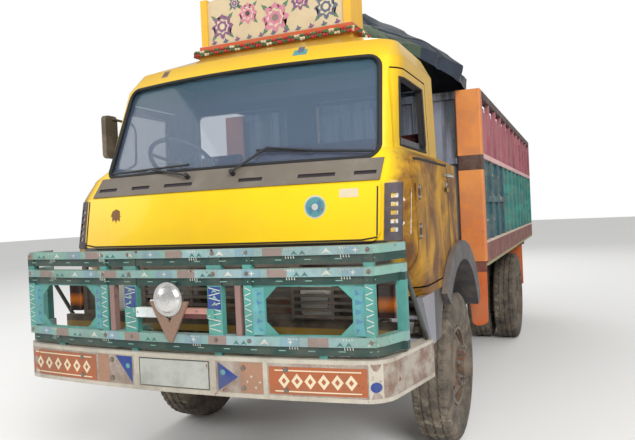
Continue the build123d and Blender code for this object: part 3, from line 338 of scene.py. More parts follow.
def side_paint():
    """Body sides: pink slats above the mid rail, teal boards below, darker towards the front."""
    graph = Graph("side_paint")
    board = graph.noise(2.1, 3, 0.5, graph.stretch(1, 0.5, 7.0))
    low = graph.mix(graph.step(board, 0.4, 0.62), (38, 118, 112), (54, 142, 130))
    front = graph.step(graph.y, aft(4330), aft(4250))
    low = graph.mix(graph.both(front, 0.8), low, (28, 66, 84))
    slat = graph.noise(5.1, 2, 0.5, graph.stretch(1, 4.0, 0.4))
    high = graph.mix(graph.step(slat, 0.4, 0.62), PINK, (150, 76, 92))
    tone = graph.mix(graph.rise(2.012, 2.018), low, high)
    tone = graph.mix(graph.band(graph.z, 1.994, 2.036), tone, (222, 176, 176))
    tone = graph.mix(graph.rise(2.496, 2.5), tone, (70, 48, 52))
    return finish_paint(graph, tone, DUST, 0.4, 0.2, (96, 74, 58), 0.5)


PLANK = 0.19


def plank_wood():
    """Planks along the truck, worn and dirty, with gaps between them."""
    graph = Graph("floor_planks")
    grain = graph.noise(3.0, 8, 0.6, graph.stretch(14, 0.9, 14), 0.8)
    tone = graph.mix(graph.step(grain, 0.32, 0.7), (128, 100, 70), (78, 58, 42))
    board = graph.noise(1.1, 1, 0.5, graph.stretch(3.9, 0.2, 1))
    tone = graph.lay(tone, graph.step(board, 0.4, 0.6), DUST, 0.4)
    place = graph.math("FRACT", graph.math("MULTIPLY_ADD", graph.x, 1 / PLANK, 40.0))
    gap = graph.either(graph.step(place, 0.022, 0.014), graph.step(place, 0.978, 0.986))
    tone = graph.lay(tone, gap, (24, 20, 18), 0.85)
    height = graph.math("SUBTRACT", grain, graph.both(gap, 2.0))
    return graph.set(base_color=tone, roughness=0.78, normal=graph.bump(height, 0.35, 0.002))


def tyre_rubber():
    """Black tyre rubber under dust and caked mud."""
    graph = Graph("tyre_rubber")
    dust = graph.blotch(7, 0.34, 0.72, 8, 0.7)
    tone = graph.mix(graph.both(dust, 0.7), (46, 43, 41), (138, 124, 106))
    caked = graph.both(graph.blotch(19, 0.5, 0.66, 6, 0.7), graph.blotch(2.3, 0.42, 0.6, 3))
    tone = graph.lay(tone, caked, (168, 156, 136), 0.55)
    fine = graph.noise(90, 6, 0.7)
    return graph.set(base_color=tone, roughness=0.86, normal=graph.bump(fine, 0.25, 0.0012))


def glass(name, tint, alpha):
    """Window glass that lets the inside show, with a tint."""
    graph = Graph(name)
    top = graph.rise(2.30, 2.50)
    tone = graph.mix(graph.both(top, 0.6), tint, (60, 120, 128))
    smear = graph.blotch(3, 0.4, 0.8, 6, 0.6)
    return graph.set(
        base_color=tone,
        roughness=graph.math("MULTIPLY_ADD", smear, 0.08, 0.04),
        alpha=alpha,
        specular_ior_level=0.8,
    )


def cover_cloth():
    """The load cover: faded green canvas in front, with a blue-black sheet lapped over it behind."""
    graph = Graph("cover_cloth")
    lap = graph.math("ADD", graph.y, graph.math("MULTIPLY", graph.noise(2.2, 3), 0.24))
    behind = graph.step(lap, aft(2215), aft(2222))
    stains = graph.blotch(3.2, 0.35, 0.7, 7, 0.65)
    green = graph.mix(stains, (66, 84, 62), (38, 50, 40))
    # painted highlights: pale blotches laid on the green canvas
    green = graph.lay(green, graph.blotch(9, 0.55, 0.75, 5), (128, 132, 104), 0.5)
    blue = graph.mix(stains, (34, 46, 62), (18, 22, 30))
    tone = graph.mix(behind, green, blue)
    # painted sky highlight: upward faces lighter and bluish grey
    tone = graph.lay(tone, graph.step(graph.upward(), 0.75, 1.0), (124, 132, 136), 0.25)
    folds = graph.noise(13, 6, 0.62)
    height = graph.math("ADD", folds, graph.both(behind, 0.6))
    return graph.set(
        base_color=tone, roughness=0.82, sheen_weight=0.15, normal=graph.bump(height, 0.55, 0.006)
    )


def rusty_steel(name, base, rust_share=0.5, rough=0.55, metallic=0.7):
    graph = Graph(name)
    rusted = graph.step(graph.noise(12, 9, 0.7), 0.62 - 0.25 * rust_share, 0.74 - 0.2 * rust_share)
    tone = graph.mix(graph.noise(30, 5), base, graph.mix(0.45, base, SOOT))
    tone = graph.mix(rusted, tone, RUST)
    tone = graph.lay(tone, graph.blotch(4, 0.45, 0.7, 6), DUST, 0.5)
    return graph.set(
        base_color=tone,
        roughness=graph.math("MULTIPLY_ADD", rusted, 0.3, rough),
        metallic=graph.math("MULTIPLY", graph.math("SUBTRACT", 1.0, rusted), metallic),
        normal=graph.bump(graph.noise(60, 6, 0.6), 0.25, 0.0012),
    )


def ornament_finish():
    """The V plate in mauve-brown paint, its dome in dull chrome."""
    graph = Graph("ornament_finish")
    across = graph.math("POWER", graph.x, 2.0)
    rise = graph.math("POWER", graph.math("SUBTRACT", graph.z, 1.202), 2.0)
    reach = graph.math("SQRT", graph.math("ADD", across, rise))
    ahead = graph.step(graph.y, aft(-13.4), aft(-13.8))
    out = graph.either(ahead, graph.rise(1.191, 1.192))
    dome = graph.both(graph.step(reach, 0.0872, 0.0866), out)
    tone = graph.mix(dome, MAUVE, (206, 204, 202))
    fine = graph.noise(50, 5, 0.6)
    return graph.set(
        base_color=tone,
        metallic=dome,
        roughness=graph.math("MULTIPLY_ADD", fine, 0.2, 0.18),
        normal=graph.bump(fine, 0.12, 0.001),
    )


def board_paint():
    """Headboard: cream board, yellow corner posts, orange moulding lines below."""
    graph = Graph("board_paint")
    tone = graph.mix(graph.rise(2.846, 2.848), (196, 84, 34), CREAM)
    tone = graph.mix(graph.rise(2.777, 2.773), tone, (214, 160, 40))
    tone = graph.mix(graph.band(graph.z, 2.777, 2.814), tone, (206, 190, 150))
    out = graph.step(graph.width(), 0.5262, 0.5268)
    corner = graph.both(out, graph.rise(2.849, 2.851))
    tone = graph.mix(corner, tone, (232, 178, 36))
    return finish_paint(graph, tone, DUST, 0.2, 0.06, RUST, 0.35)


def post_paint():
    """Body ends: grey-blue wall between orange corner posts with one dark band."""
    graph = Graph("post_paint")
    post = graph.step(graph.width(), 0.998, 1.0005)
    orange = graph.mix(graph.blotch(3, 0.4, 0.65), (224, 142, 70), (206, 116, 54))
    orange = graph.mix(graph.band(graph.z, 1.899, 2.022), orange, (74, 44, 38))
    ribs = graph.noise(6, 4, 0.6, graph.stretch(2.2, 1.0, 0.12))
    wall = graph.mix(graph.step(ribs, 0.42, 0.6), (132, 138, 156), WALL_GREY)
    tone = graph.mix(post, wall, orange)
    tone = graph.mix(graph.step(graph.y, aft(7000), aft(7010)), tone, (70, 48, 52))
    return finish_paint(graph, tone, DUST, 0.3, 0.2, RUST, 0.48)


def arch_paint():
    """Wheel arches in black, lighter on upward faces with dust and a painted highlight, with the step
    panels ahead of them in worn grey.
    """
    graph = Graph("arch_paint")
    step_panel = graph.step(graph.y, aft(985), aft(975))
    tone = graph.mix(step_panel, (62, 60, 64), (136, 136, 146))
    # upward faces lighter: dust, and a painted highlight
    dusty = graph.step(graph.upward(), 0.15, 0.7)
    tone = graph.lay(tone, dusty, (118, 108, 104), 0.6)
    return finish_paint(graph, tone, DUST, 0.35, 0.25, DARK_RUST, 0.36)


def vent_paint():
    """Dusty grey-brown scuttle under the screen, and dark corner vents."""
    graph = Graph("vent_paint")
    high = graph.rise(1.757, 1.76)
    dusty = graph.mix(graph.blotch(6, 0.35, 0.7, 6, 0.6), (120, 112, 100), (92, 84, 76))
    tone = graph.mix(high, (60, 50, 60), dusty)
    return finish_paint(graph, tone, DUST, 0.25, 0.05, RUST, 0.45)


def lamp_finish():
    """Amber corner lamps, red rear lamps and clear headlamps by their place."""
    graph = Graph("lamp_finish")
    front = graph.step(graph.y, aft(1010), aft(990))
    corner = graph.step(graph.width(), 0.95, 0.96)
    rise = graph.math("ABSOLUTE", graph.math("SUBTRACT", graph.z, 1.13))
    amber = graph.mix(graph.step(rise, 0.008, 0.045), (206, 108, 18), (58, 32, 28))
    tone = graph.mix(front, (150, 16, 12), graph.mix(corner, (176, 172, 164), amber))
    ribs = graph.bump(graph.waves("Z", 28), 0.3, 0.002)
    return graph.set(base_color=tone, roughness=0.22, coat_weight=0.4, normal=ribs)


# Floor rails: pale top edge and olive foot, lightened as painted highlights where the channel's flanges
# catch light. Splash plates: dark red top. Grille: dark foot, olive valance
RAIL_FLANGE_HIGHLIGHTS = ((1.292, 1.297, (206, 184, 166)), (1.134, 1.128, (150, 146, 104)))
SPLASH_ZONES = ((1.058, 1.064, (110, 44, 36)),)
GRILLE_ZONES = ((1.0365, 1.0355, (58, 50, 42)), (1.000, 0.994, (134, 106, 34)))

FINISHES = {
    "cab": cab_paint(),
    "guard": guard_paint(),
    "bumper": bumper_paint(),
    "sides": side_paint(),
    "floor_rail": zoned_paint("floor_rail_paint", (116, 50, 44), RAIL_FLANGE_HIGHLIGHTS, DUST, 0.45, 0.25, rough=0.5),
    "ends": post_paint(),
    "board": board_paint(),
    "ornament": ornament_finish(),
    "lamps": lamp_finish(),
    "orange": zoned_paint("orange_paint", ORANGE, SPLASH_ZONES, DUST, 0.4, 0.2),
    "grille": zoned_paint("grille_paint", (82, 74, 66), GRILLE_ZONES, DUST, 0.4, 0.3),
    "arches": arch_paint(),
    "vents": vent_paint(),
    "garland_red": plain("garland_red", (176, 56, 52), 0.9),
    "garland_green": plain("garland_green", (84, 104, 62), 0.9),
    "slot_pale": plain("slot_pale", (206, 206, 210), 0.5),
    "slot_dark": plain("slot_dark", (40, 32, 38), 0.7),
    "cast": rusty_steel("cast_iron", (62, 56, 50), 0.6, 0.7, 0.3),
    "steel": rusty_steel("dusty_steel", (128, 122, 114), 0.35, 0.5, 0.6),
    "bolt_steel": rusty_steel("bolt_steel", (138, 132, 124), 0.45, 0.5, 0.7),
    "rim": rusty_steel("rim_paint", (120, 104, 88), 0.3, 0.6, 0.1),
    "chrome": plain("worn_chrome", (200, 200, 202), 0.22, 1.0, 80, 0.05, spread=0.15),
    "tyre": tyre_rubber(),
    # the windscreen's blue-grey is partly the glass's tint and partly a painted sky reflection
    "glass": glass("cab_glass", (112, 134, 160), 0.24),
    "door_glass": glass("door_glass", (38, 46, 54), 0.5),
    "plank": plank_wood(),
    "canvas": cover_cloth(),
    "seat": plain("seat_cover", (92, 38, 32), 0.55, 0.0, 140, 0.2),
    "black": plain("black_plastic", (38, 38, 40), 0.55),
    "rubber": plain("black_rubber", RUBBER, 0.7, 0.0, 90, 0.15),
    "frame": worn_paint("frame_paint", (46, 30, 28), DUST, 0.55, 0.3),
    "grey": worn_paint("grey_paint", GREY, DUST, 0.5, 0.2),
    "mirror_shell": worn_paint("mirror_shell", (84, 74, 60), DUST, 0.6, 0.2, rough=0.5),
}

# Sign painter's colours, by their wear: dirt, share of dirt, chips
SIGN_PAINTS = {
    (GRIME, 0.5, 0.3): {
        "white_paint": (196, 198, 188),
        "mint_paint": (130, 172, 158),
        "blue_paint_pale": (120, 150, 160),
        "blue_paint_mid": (70, 120, 150),
        "mauve_paint_pale": (138, 120, 112),
        "deep_teal": (48, 104, 98),
        "sky_paint": (86, 148, 150),
        "strong_blue": (24, 54, 128),
        "pale_edge": (184, 176, 160),
        "orange_panel": (160, 86, 46),
        "plate_bare": (176, 178, 170),
    },
    ((120, 96, 72), 0.6, 0.3): {"mottled_panel": (156, 116, 92)},
    (DUST, 0.3, 0.1): {"plate_dark": (62, 66, 60)},
    (DUST, 0.2, 0.1): {"cream_paint": (214, 198, 166)},
    (DUST, 0.2, 0.05): {"slate_paint": (92, 100, 116)},
    (DUST, 0.15, 0.05): {
        "purple_paint": (128, 84, 122),
        "pink_paint": (206, 128, 150),
        "leaf_paint": (84, 124, 92),
    },
    (DUST, 0.1, 0.2): {"brown_ink": (120, 78, 30)},
}
for wear, paints in SIGN_PAINTS.items():
    for name, tone in paints.items():
        FINISHES[name] = worn_paint(name, tone, *wear)

# The finish of each CAD node
NODES_WITH = {
    "cab": "cab_shell door_left door_right front_lid",
    "frame": "battery_box chassis_frame",
    "cast": "engine_block front_axle knuckle_left knuckle_right leaf_springs rear_axle",
    "steel": "exhaust propeller_shaft track_rod",
    "rim": "rim_front_left rim_front_right rims_rear_left rims_rear_right",
    "tyre": "tyre_front_left tyre_front_right tyres_rear_left tyres_rear_right",
    "black": "dashboard seat_frames steering_wheel wipers",
    "door_glass": "door_glass_left door_glass_right",
    "sides": "body_sides tailgate",
    "ends": "body_ends",
    "glass": "cab_glass",
    "floor_rail": "floor_rails",
    "bumper": "front_bumper",
    "ornament": "front_ornament",
    "grey": "fuel_tank",
    "grille": "grille",
    "guard": "guard",
    "board": "headboard",
    "lamps": "lamps",
    "plank": "load_floor",
    "mirror_shell": "mirror_right",
    "seat": "seats",
    "orange": "splash_plates",
    "canvas": "tarp_bundle",
    "vents": "vent_panels",
    "arches": "wheel_arches",
}
for finish, names in NODES_WITH.items():
    for name in names.split():
        materials = nodes[name].data.materials
        if materials:
            materials[0] = FINISHES[finish]
        else:
            materials.append(FINISHES[finish])


# Building pieces
COAT = 0.0007


def added(name, data):
    """A new object in the scene."""
    made = bpy.data.objects.new(name, data)
    bpy.context.scene.collection.objects.link(made)
    return made


def piece(name, form, body, slot, *finishes, smooth=False):
    """A new object from a bmesh, riding on one body."""
    data = bpy.data.meshes.new(name)
    bmesh.ops.recalc_face_normals(form, faces=form.faces)
    form.to_mesh(data)
    form.free()
    for finish in finishes:
        data.materials.append(FINISHES[finish])
    if smooth:
        data.polygons.foreach_set("use_smooth", [True] * len(data.polygons))
    made = added(name, data)
    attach(made, body)
    return made


def surface_of(*names):
    """A tree of the faces of some CAD nodes, to cast rays on."""
    corners, faces = [], []
    for name in names:
        data = nodes[name].data
        first = len(corners)
        corners.extend(vertex.co.copy() for vertex in data.vertices)
        faces.extend([first + corner for corner in face.vertices] for face in data.polygons)
    return BVHTree.FromPolygons(corners, faces)


UP = Vector((0, 0, 1))
VIEWS = {
    # the plane's axis across, the rays' direction, their start and their reach in metres
    "front": (Vector((1, 0, 0)), Vector((0, 1, 0)), 5, 8),
    "back": (Vector((1, 0, 0)), Vector((0, -1, 0)), 5, 4),
    "left": (Vector((0, 1, 0)), Vector((-1, 0, 0)), 3, 4),
    "right": (Vector((0, 1, 0)), Vector((1, 0, 0)), 3, 4),
}


def hits(target, view, spots):
    """Where rays land on a surface, for spots across and up in metres, without those that miss."""
    across, ray, start, reach = VIEWS[view]
    found = (target.ray_cast(across * u + UP * v - ray * start, ray, reach)[0] for u, v in spots)
    return [hit for hit in found if hit is not None]


def closed_path(corners):
    """Each side of a closed outline, as its two ends."""
    return zip(corners, corners[1:] + corners[:1])


def divided(sides, cuts):
    """Even points in metres along sides given in millimetres, each without its last point."""
    points = []
    for (x, z), (next_x, next_z) in sides:
        count = cuts or max(1, int(math.hypot(next_x - x, next_z - z) / SEAL_STEP))
        for cut in range(count):
            points.append(((x + (next_x - x) * cut / count) * MM, (z + (next_z - z) * cut / count) * MM))
    return points


PAINT_EDGE = 0.07
PAINT_CUTS = 7


def painted(name, target, shapes, body, slot, view="front"):
    """Painted shapes laid on a surface, each with its layer, finish and outline in millimetres."""
    across, ray, start, reach = VIEWS[view]
    finishes = []
    form = bmesh.new()
    for layer, finish, outline in shapes:
        if finish not in finishes:
            finishes.append(finish)
        part = bmesh.new()
        part.faces.new([part.verts.new(across * u * MM + UP * v * MM) for u, v in outline])
        bmesh.ops.triangulate(part, faces=part.faces)
        for _ in range(PAINT_CUTS):
            long_edges = [edge for edge in part.edges if edge.calc_length() > PAINT_EDGE]
            if not long_edges:
                break
            bmesh.ops.subdivide_edges(part, edges=long_edges, cuts=1)
            bmesh.ops.triangulate(part, faces=[face for face in part.faces if len(face.verts) > 3])
        missed = []
        for vertex in part.verts:
            hit = target.ray_cast(vertex.co - ray * start, ray, reach)[0]
            if hit is None:
                missed.append(vertex)
            else:
                vertex.co = hit - ray * COAT * (1 + layer)
        bmesh.ops.delete(part, geom=missed, context="VERTS")
        lookup = {vertex: form.verts.new(vertex.co) for vertex in part.verts}
        for face in part.faces:
            new_face = form.faces.new([lookup[vertex] for vertex in face.verts])
            new_face.material_index = finishes.index(finish)
        part.free()
    return piece(name, form, body, slot, *finishes)


def rect(left, right, low, high):
    return [(left, low), (right, low), (right, high), (left, high)]


def ring_of(x, z, radii, count, turn=0.0):
    """Points around a centre whose radii repeat: a circle, star or flower outline."""
    points = []
    for number in range(count):
        angle = turn + 2 * math.pi * number / count
        radius = radii[number % len(radii)]
        points.append((x + radius * math.cos(angle), z + radius * math.sin(angle)))
    return points


def spark(x, z, radius):
    """A small four-pointed star."""
    return ring_of(x, z, (radius, radius * 0.28), 8, math.pi / 2)


def arrow(x, z, wide, tall):
    """A small triangle with a split foot."""
    return [(x - wide / 2, z), (x, z + tall), (x + wide / 2, z), (x, z + tall * 0.3)]


def circle(form, centre, first, second, radius, sides, turn=0.0):
    """A ring of corners round a centre, in the plane of two directions."""
    ring = []
    for side in range(sides):
        angle = 2 * math.pi * (side + turn) / sides
        ring.append(form.verts.new(centre + (first * math.cos(angle) + second * math.sin(angle)) * radius))
    return ring


def skin(form, rings, closed=False):
    """Faces between rings of corners, with the ends shut unless the rings close."""
    pairs = list(zip(rings, rings[1:])) + ([(rings[-1], rings[0])] if closed else [])
    for one, two in pairs:
        for side in range(len(one)):
            after = (side + 1) % len(one)
            form.faces.new((one[side], one[after], two[after], two[side]))
    if not closed:
        form.faces.new(rings[0][::-1])
        form.faces.new(rings[-1])


def tube(form, points, radius, sides=8, closed=False, flat=1.0):
    """Sweeps a round or flattened section along points."""
    points = [Vector(point) for point in points]
    count = len(points)
    rings = []
    for number, point in enumerate(points):
        ahead = points[(number + 1) % count] if closed or number < count - 1 else point
        behind = points[number - 1] if closed or number else point
        along = (ahead - behind).normalized()
        first = along.cross(UP)
        if first.length < 0.2:
            first = along.cross(Vector((0, 1, 0)))
        first.normalize()
        second = first.cross(along) * flat
        rings.append(circle(form, point, first, second, radius, sides, 0.5))
    skin(form, rings, closed)


def lathe(form, centre, axis, profile, sides=16):
    """Turns a profile of distance along and radius about an axis through a centre."""
    centre, axis = Vector(centre), Vector(axis).normalized()
    first = axis.orthogonal().normalized()
    second = axis.cross(first)
    rings = [circle(form, centre + axis * along, first, second, radius, sides) for along, radius in profile]
    skin(form, rings)


def slab(form, low, high, bevel, finish=0):
    """A flat plate between two corners, with its edges eased."""
    part = bmesh.ops.create_cube(form, size=1.0)["verts"]
    for vertex in part:
        for axis in range(3):
            vertex.co[axis] = high[axis] if vertex.co[axis] > 0 else low[axis]
    faces = dict.fromkeys(face for vertex in part for face in vertex.link_faces)
    for face in faces:
        face.material_index = finish
    if bevel:
        edges = list(dict.fromkeys(edge for face in faces for edge in face.edges))
        bmesh.ops.bevel(form, geom=edges, offset=bevel, segments=1, affect="EDGES", material=finish)


def bolt(form, at, axis, radius):
    """A hexagon head on a washer."""
    high = radius * 0.75
    lathe(form, at, axis, [(-0.002, radius * 1.5), (0.0015, radius * 1.5)], 12)
    lathe(form, at, axis, [(0.001, radius * 1.1), (high * 0.85, radius * 1.1), (high, radius * 0.8)], 6)


# Tyres: a crowned tread with zigzag ribs and shoulder lugs, ribbed side walls, and beads on the rim
TYRE_OUT = 0.5045
TREAD_HALF = 0.100
TREAD_COLUMNS = 33
TREAD_CROWN = 0.55
TYRE_SIDE = (
    # distance from the tyre's centre plane, radius
    (0.110, 0.488), (0.118, 0.472), (0.124, 0.450), (0.1275, 0.425), (0.1300, 0.400), (0.1302, 0.385),
    (0.128, 0.366), (0.1285, 0.358), (0.124, 0.345), (0.116, 0.322), (0.106, 0.300), (0.100, 0.288),
    (0.098, 0.276), (0.095, 0.270),
)
TYRE_STEPS = 312
GROOVES = (-0.056, 0.0, 0.056)
GROOVE_HALF = 0.0058
GROOVE_DEPTH = 0.011
ZIGZAG = 0.006
SHOULDER = 0.074
LUG_COUNT = 52
LUG_DEPTH = 0.009
RIB_DEPTH = 0.004


def between_lugs(number):
    """Whether a step around the tyre falls between two lugs."""
    return (number * LUG_COUNT * 2 // TYRE_STEPS) % 2


def tread_depth(across, number):
    """How far the tread is cut in at a place across the tyre and a step around it."""
    turn = 2 * math.pi * number / TYRE_STEPS
    zigzag = ZIGZAG * math.asin(math.sin(turn * LUG_COUNT)) / (math.pi / 2)
    if any(abs(across - groove - zigzag) < GROOVE_HALF for groove in GROOVES):
        return GROOVE_DEPTH
    return LUG_DEPTH if abs(across) > SHOULDER and between_lugs(number) and number % 3 else 0.0


def tyre(form, centre):
    """One tyre about an axle along X."""
    tread = []
    for number in range(TREAD_COLUMNS):
        across = -TREAD_HALF + 2 * TREAD_HALF * number / (TREAD_COLUMNS - 1)
        tread.append((across, TYRE_OUT - TREAD_CROWN * across * across, True))
    left = [(-across, radius, False) for across, radius in reversed(TYRE_SIDE)]
    right = [(across, radius, False) for across, radius in TYRE_SIDE]
    profile = left + tread + right
    rings = []
    for number in range(TYRE_STEPS):
        angle = 2 * math.pi * number / TYRE_STEPS
        ring = []
        for across, radius, cut in profile:
            rib = not cut and 0.45 < radius < 0.49 and between_lugs(number)
            reach = radius - (tread_depth(across, number) if cut else RIB_DEPTH if rib else 0.0)
            spot = Vector((across, reach * math.cos(angle), reach * math.sin(angle)))
            ring.append(form.verts.new(centre + spot))
        rings.append(ring)
    for number, ring in enumerate(rings):
        after = rings[(number + 1) % TYRE_STEPS]
        for place in range(len(ring) - 1):
            form.faces.new((ring[place], ring[place + 1], after[place + 1], after[place]))


FRONT_Y = aft(1740)
REAR_Y = aft(5300)
AXLE_Z = 0.505
WHEELS = (
    # tyre node, body, axle's place, tyre centres, nut plane, nut ring, hub plane, direction out
    ("tyre_front_left", "wheel_front_left", FRONT_Y, (1.0,), 1.105, 0.122, 1.186, 1),
    ("tyre_front_right", "wheel_front_right", FRONT_Y, (-1.0,), -1.105, 0.122, -1.186, -1),
    ("tyres_rear_left", "wheel_rear_left", REAR_Y, (0.758, 1.060), 0.921, 0.118, 1.109, 1),
    ("tyres_rear_right", "wheel_rear_right", REAR_Y, (-0.758, -1.060), -0.921, 0.118, -1.109, -1),
)
NUT_COUNT = 8
HUB_BOLTS = 6
HUB_RING = 0.036
VALVE_OUT = 0.098
VALVE_UP = 0.236

# Wheel nuts and studs: distance along, radius
NUT = ((0, 0.024), (0.004, 0.024), (0.0042, 0.019), (0.022, 0.019), (0.026, 0.016))
STUD = ((0.024, 0.011), (0.040, 0.011), (0.042, 0.009))


def around(x, y, radius, share):
    """A place on a ring about an axle, at a share of its turn."""
    angle = 2 * math.pi * share
    return Vector((x, y + radius * math.cos(angle), AXLE_Z + radius * math.sin(angle)))


def add_wheels():
    for node_name, body, y, centres, nut_x, ring, hub, side in WHEELS:
        form = bmesh.new()
        for x in centres:
            tyre(form, Vector((x, y, AXLE_Z)))
        made = piece(node_name + "_tread", form, body, "tyre", "tyre")
        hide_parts(node_name)
        form = bmesh.new()
        out = Vector((side, 0, 0))
        for number in range(NUT_COUNT):
            at = around(nut_x, y, ring, (number + 0.5) / NUT_COUNT)
            lathe(form, at, out, NUT, 6)
            lathe(form, at, out, STUD, 8)
        for number in range(HUB_BOLTS):
            bolt(form, around(hub, y, HUB_RING, number / HUB_BOLTS), out, 0.006)
        valve = Vector((centres[-1] + side * VALVE_OUT, y, AXLE_Z + VALVE_UP))
        tube(form, (valve - out * 0.03, valve, valve + out * 0.012 - UP * 0.02), 0.005, 6)
        piece(body + "_nuts", form, body, "steel", "bolt_steel")


# Rubber seals round the glass
SEAL_STEP = 70
SCREEN_BENDS = (
    # centre of a corner's bend, its first angle in degrees
    (-857, 1962, 180), (857, 1962, 270), (823, 2427, 0), (-823, 2427, 90),
)
SCREEN_BEND_RADIUS = 72
WINDOW_CORNERS = ((788, 1961), (1394, 1961), (1394, 2364), (915, 2364))
DOORS = ((1, "left", "door_left"), (-1, "right", "door_right"))


def add_seals():
    path = []
    for x, z, first in SCREEN_BENDS:
        for step in range(6):
            angle = math.radians(first + 90 * step / 5)
            reach = SCREEN_BEND_RADIUS
            path.append((x + reach * math.cos(angle), z + reach * math.sin(angle)))
    found = hits(surface_of("cab_shell"), "front", divided(closed_path(path), None))
    points = [hit + Vector((0, 0.001, 0)) for hit in found if hit.y < aft(1150)]
    form = bmesh.new()
    tube(form, points, 0.014, 10, True, 0.85)
    piece("screen_seal", form, "chassis", "black_plastic", "rubber", smooth=True)

    for _, view, body in DOORS:
        corners = [(aft_mm(y), z) for y, z in WINDOW_CORNERS]
        found = hits(surface_of(body), view, divided(closed_path(corners), 8))
        form = bmesh.new()
        tube(form, [hit for hit in found if abs(hit.x) > 0.9], 0.008, 6, True)
        piece(body + "_window_seal", form, body, "black_plastic", "rubber")


# Painted patterns of the guard
DASH_GROUPS = (-860, -470, 120, 640, 905)
LADDERS = (
    # centre and half width of a post's ladder of dashes
    (-258, 32), (258, 32), (-440, 17), (440, 17), (-1032, 17), (1032, 17),
)
LADDER_LOW = 1048
LADDER_PITCH = 25


def guard_patterns():
    for row, (_, low, high, first, pitch) in enumerate(GUARD_RAILS):
        x = first
        number = row
        while x < 1060:
            kind = number % 4
            if kind == 0:
                yield 1, "white_paint", arrow(x, low + 5, 50, high - low - 12)
            elif kind == 1:
                yield 0, "blue_paint_pale", rect(x - 52, x + 48, low + 1, high - 1)
                yield 1, "white_paint", spark(x, (low + high) / 2, 17)
            elif kind == 2:
                yield 0, "mauve_paint_pale", rect(x - 44, x + 56, low + 1, high - 1)
            else:
                for shift in (-20, 20):
                    yield 0, "deep_teal", arrow(x + shift, low + 2, 34, 22)
            number += 1
            x += pitch
        for x in DASH_GROUPS:
            for dash in range(4):
                left = x + dash * 13
                yield 2, "white_paint", rect(left, left + 5, low - 14, high - 4)
    # the dark strips under the bright ones, teal paint with painted shade, carry short pale marks
    for dark, low, _, _, _ in GUARD_RAILS:
        for number in range(15):
            x = -1020 + number * 146
            yield 1, "mint_paint", rect(x, x + 34, (dark + low) / 2 - 2, (dark + low) / 2 + 2)
    # ladders of short dashes on the posts
    for x, half in LADDERS:
        for number in range(9):
            z = LADDER_LOW + number * LADDER_PITCH
            lean = 7 if number % 2 else -7
            left, right = z - lean, z + lean
            dash = [(x - half, left), (x + half, right), (x + half, right + 5), (x - half, left + 5)]
            yield 1, "white_paint", dash
    for x in (-258, 258):
        yield 0, "strong_blue", rect(x - 36, x + 36, 1150, 1262)
        for z in (1168, 1200, 1232):
            yield 2, "mint_paint", arrow(x, z, 34, 22)
    # borders of the lamp panels
    for side in (-1, 1):
        for x in (side * 490, side * 982):
            yield 0, "sky_paint", rect(min(x - 28, x + 28), max(x - 28, x + 28), 1030, 1258)
            for z in (1052, 1096, 1140, 1184, 1228):
                yield 1, "blue_paint_mid", [(x - 20, z - 14), (x + 20, z), (x - 20, z + 14)]
        for x in (side * 600, side * 736, side * 872):
            yield 1, "white_paint", arrow(x, 1232, 44, 24)


# Painted panels of the bumper and its bare number plate
BUMPER_PANELS = (
    # layer, finish, left, right, low, high
    (0, "pale_edge", -1085, 1085, 729, 748),
    (0, "pale_edge", -1085, 1085, 902, 920),
    (1, "orange_panel", -1040, -515, 752, 892),
    (1, "mottled_panel", -500, -420, 752, 898),
    (1, "pale_edge", -250, -232, 740, 910),
    (1, "pale_edge", 232, 250, 740, 910),
    (0, "pale_edge", -232, 232, 748, 904),
    (2, "plate_dark", -214, 214, 752, 898),
    (3, "plate_bare", -208, 208, 758, 892),
    (1, "mottled_panel", 385, 505, 752, 898),
    (1, "pale_edge", 505, 528, 740, 910),
    (1, "orange_panel", 536, 1010, 756, 886),
    (1, "pale_edge", 1016, 1075, 740, 912),
)


def bumper_patterns():
    for layer, finish, *edges in BUMPER_PANELS:
        yield layer, finish, rect(*edges)
    for side, tip in ((-1, 896), (1, 826)):
        yield 1, "strong_blue", [(side * 262, 756), (side * 262, 896), (side * 372, tip)]
        yield 2, "sky_paint", ring_of(side * 290, 846, (14,), 10)
    yield 2, "strong_blue", ring_of(1046, 800, (24,), 12)
    for number in range(5):
        x = 400 + number * 22
        yield 2, "white_paint", spark(x, 780 + 26 * (number % 3), 10)
        yield 2, "mauve_paint_pale", spark(-x - 20, 780 + 26 * (number % 3), 10)
    # each orange panel carries a row of diamonds between two lines
    for left, right, low in ((-1012, -548, 872), (-1012, -548, 764), (566, 984, 866), (566, 984, 768)):
        yield 2, "cream_paint", rect(left, right, low, low + 6)
    for number in range(6):
        for x in (612 + number * 65, -968 + number * 76):
            yield 2, "cream_paint", [(x - 29, 820), (x, 784), (x + 29, 820), (x, 856)]
            yield 3, "orange_panel", [(x - 12, 820), (x, 805), (x + 12, 820), (x, 835)]


# Headboard flowers in a layout of its own
FLOWERS = (
    # x, z, radius, petal finish, heart finish
    (-408, 2980, 92, "purple_paint", "cream_paint"),
    (-196, 3040, 78, "pink_paint", "plate_dark"),
    (20, 2975, 108, "pink_paint", "mauve_paint_pale"),
    (214, 3062, 70, "purple_paint", "pink_paint"),
    (402, 2985, 88, "slate_paint", "cream_paint"),
    (-300, 3130, 46, "slate_paint", "pink_paint"),
    (120, 3160, 44, "purple_paint", "cream_paint"),
    (320, 3130, 42, "pink_paint", "cream_paint"),
    (-80, 3165, 44, "slate_paint", "cream_paint"),
    (0, 3282, 66, "pink_paint", "plate_dark"),
    (-158, 3240, 34, "purple_paint", "pink_paint"),
    (158, 3240, 34, "slate_paint", "cream_paint"),
)


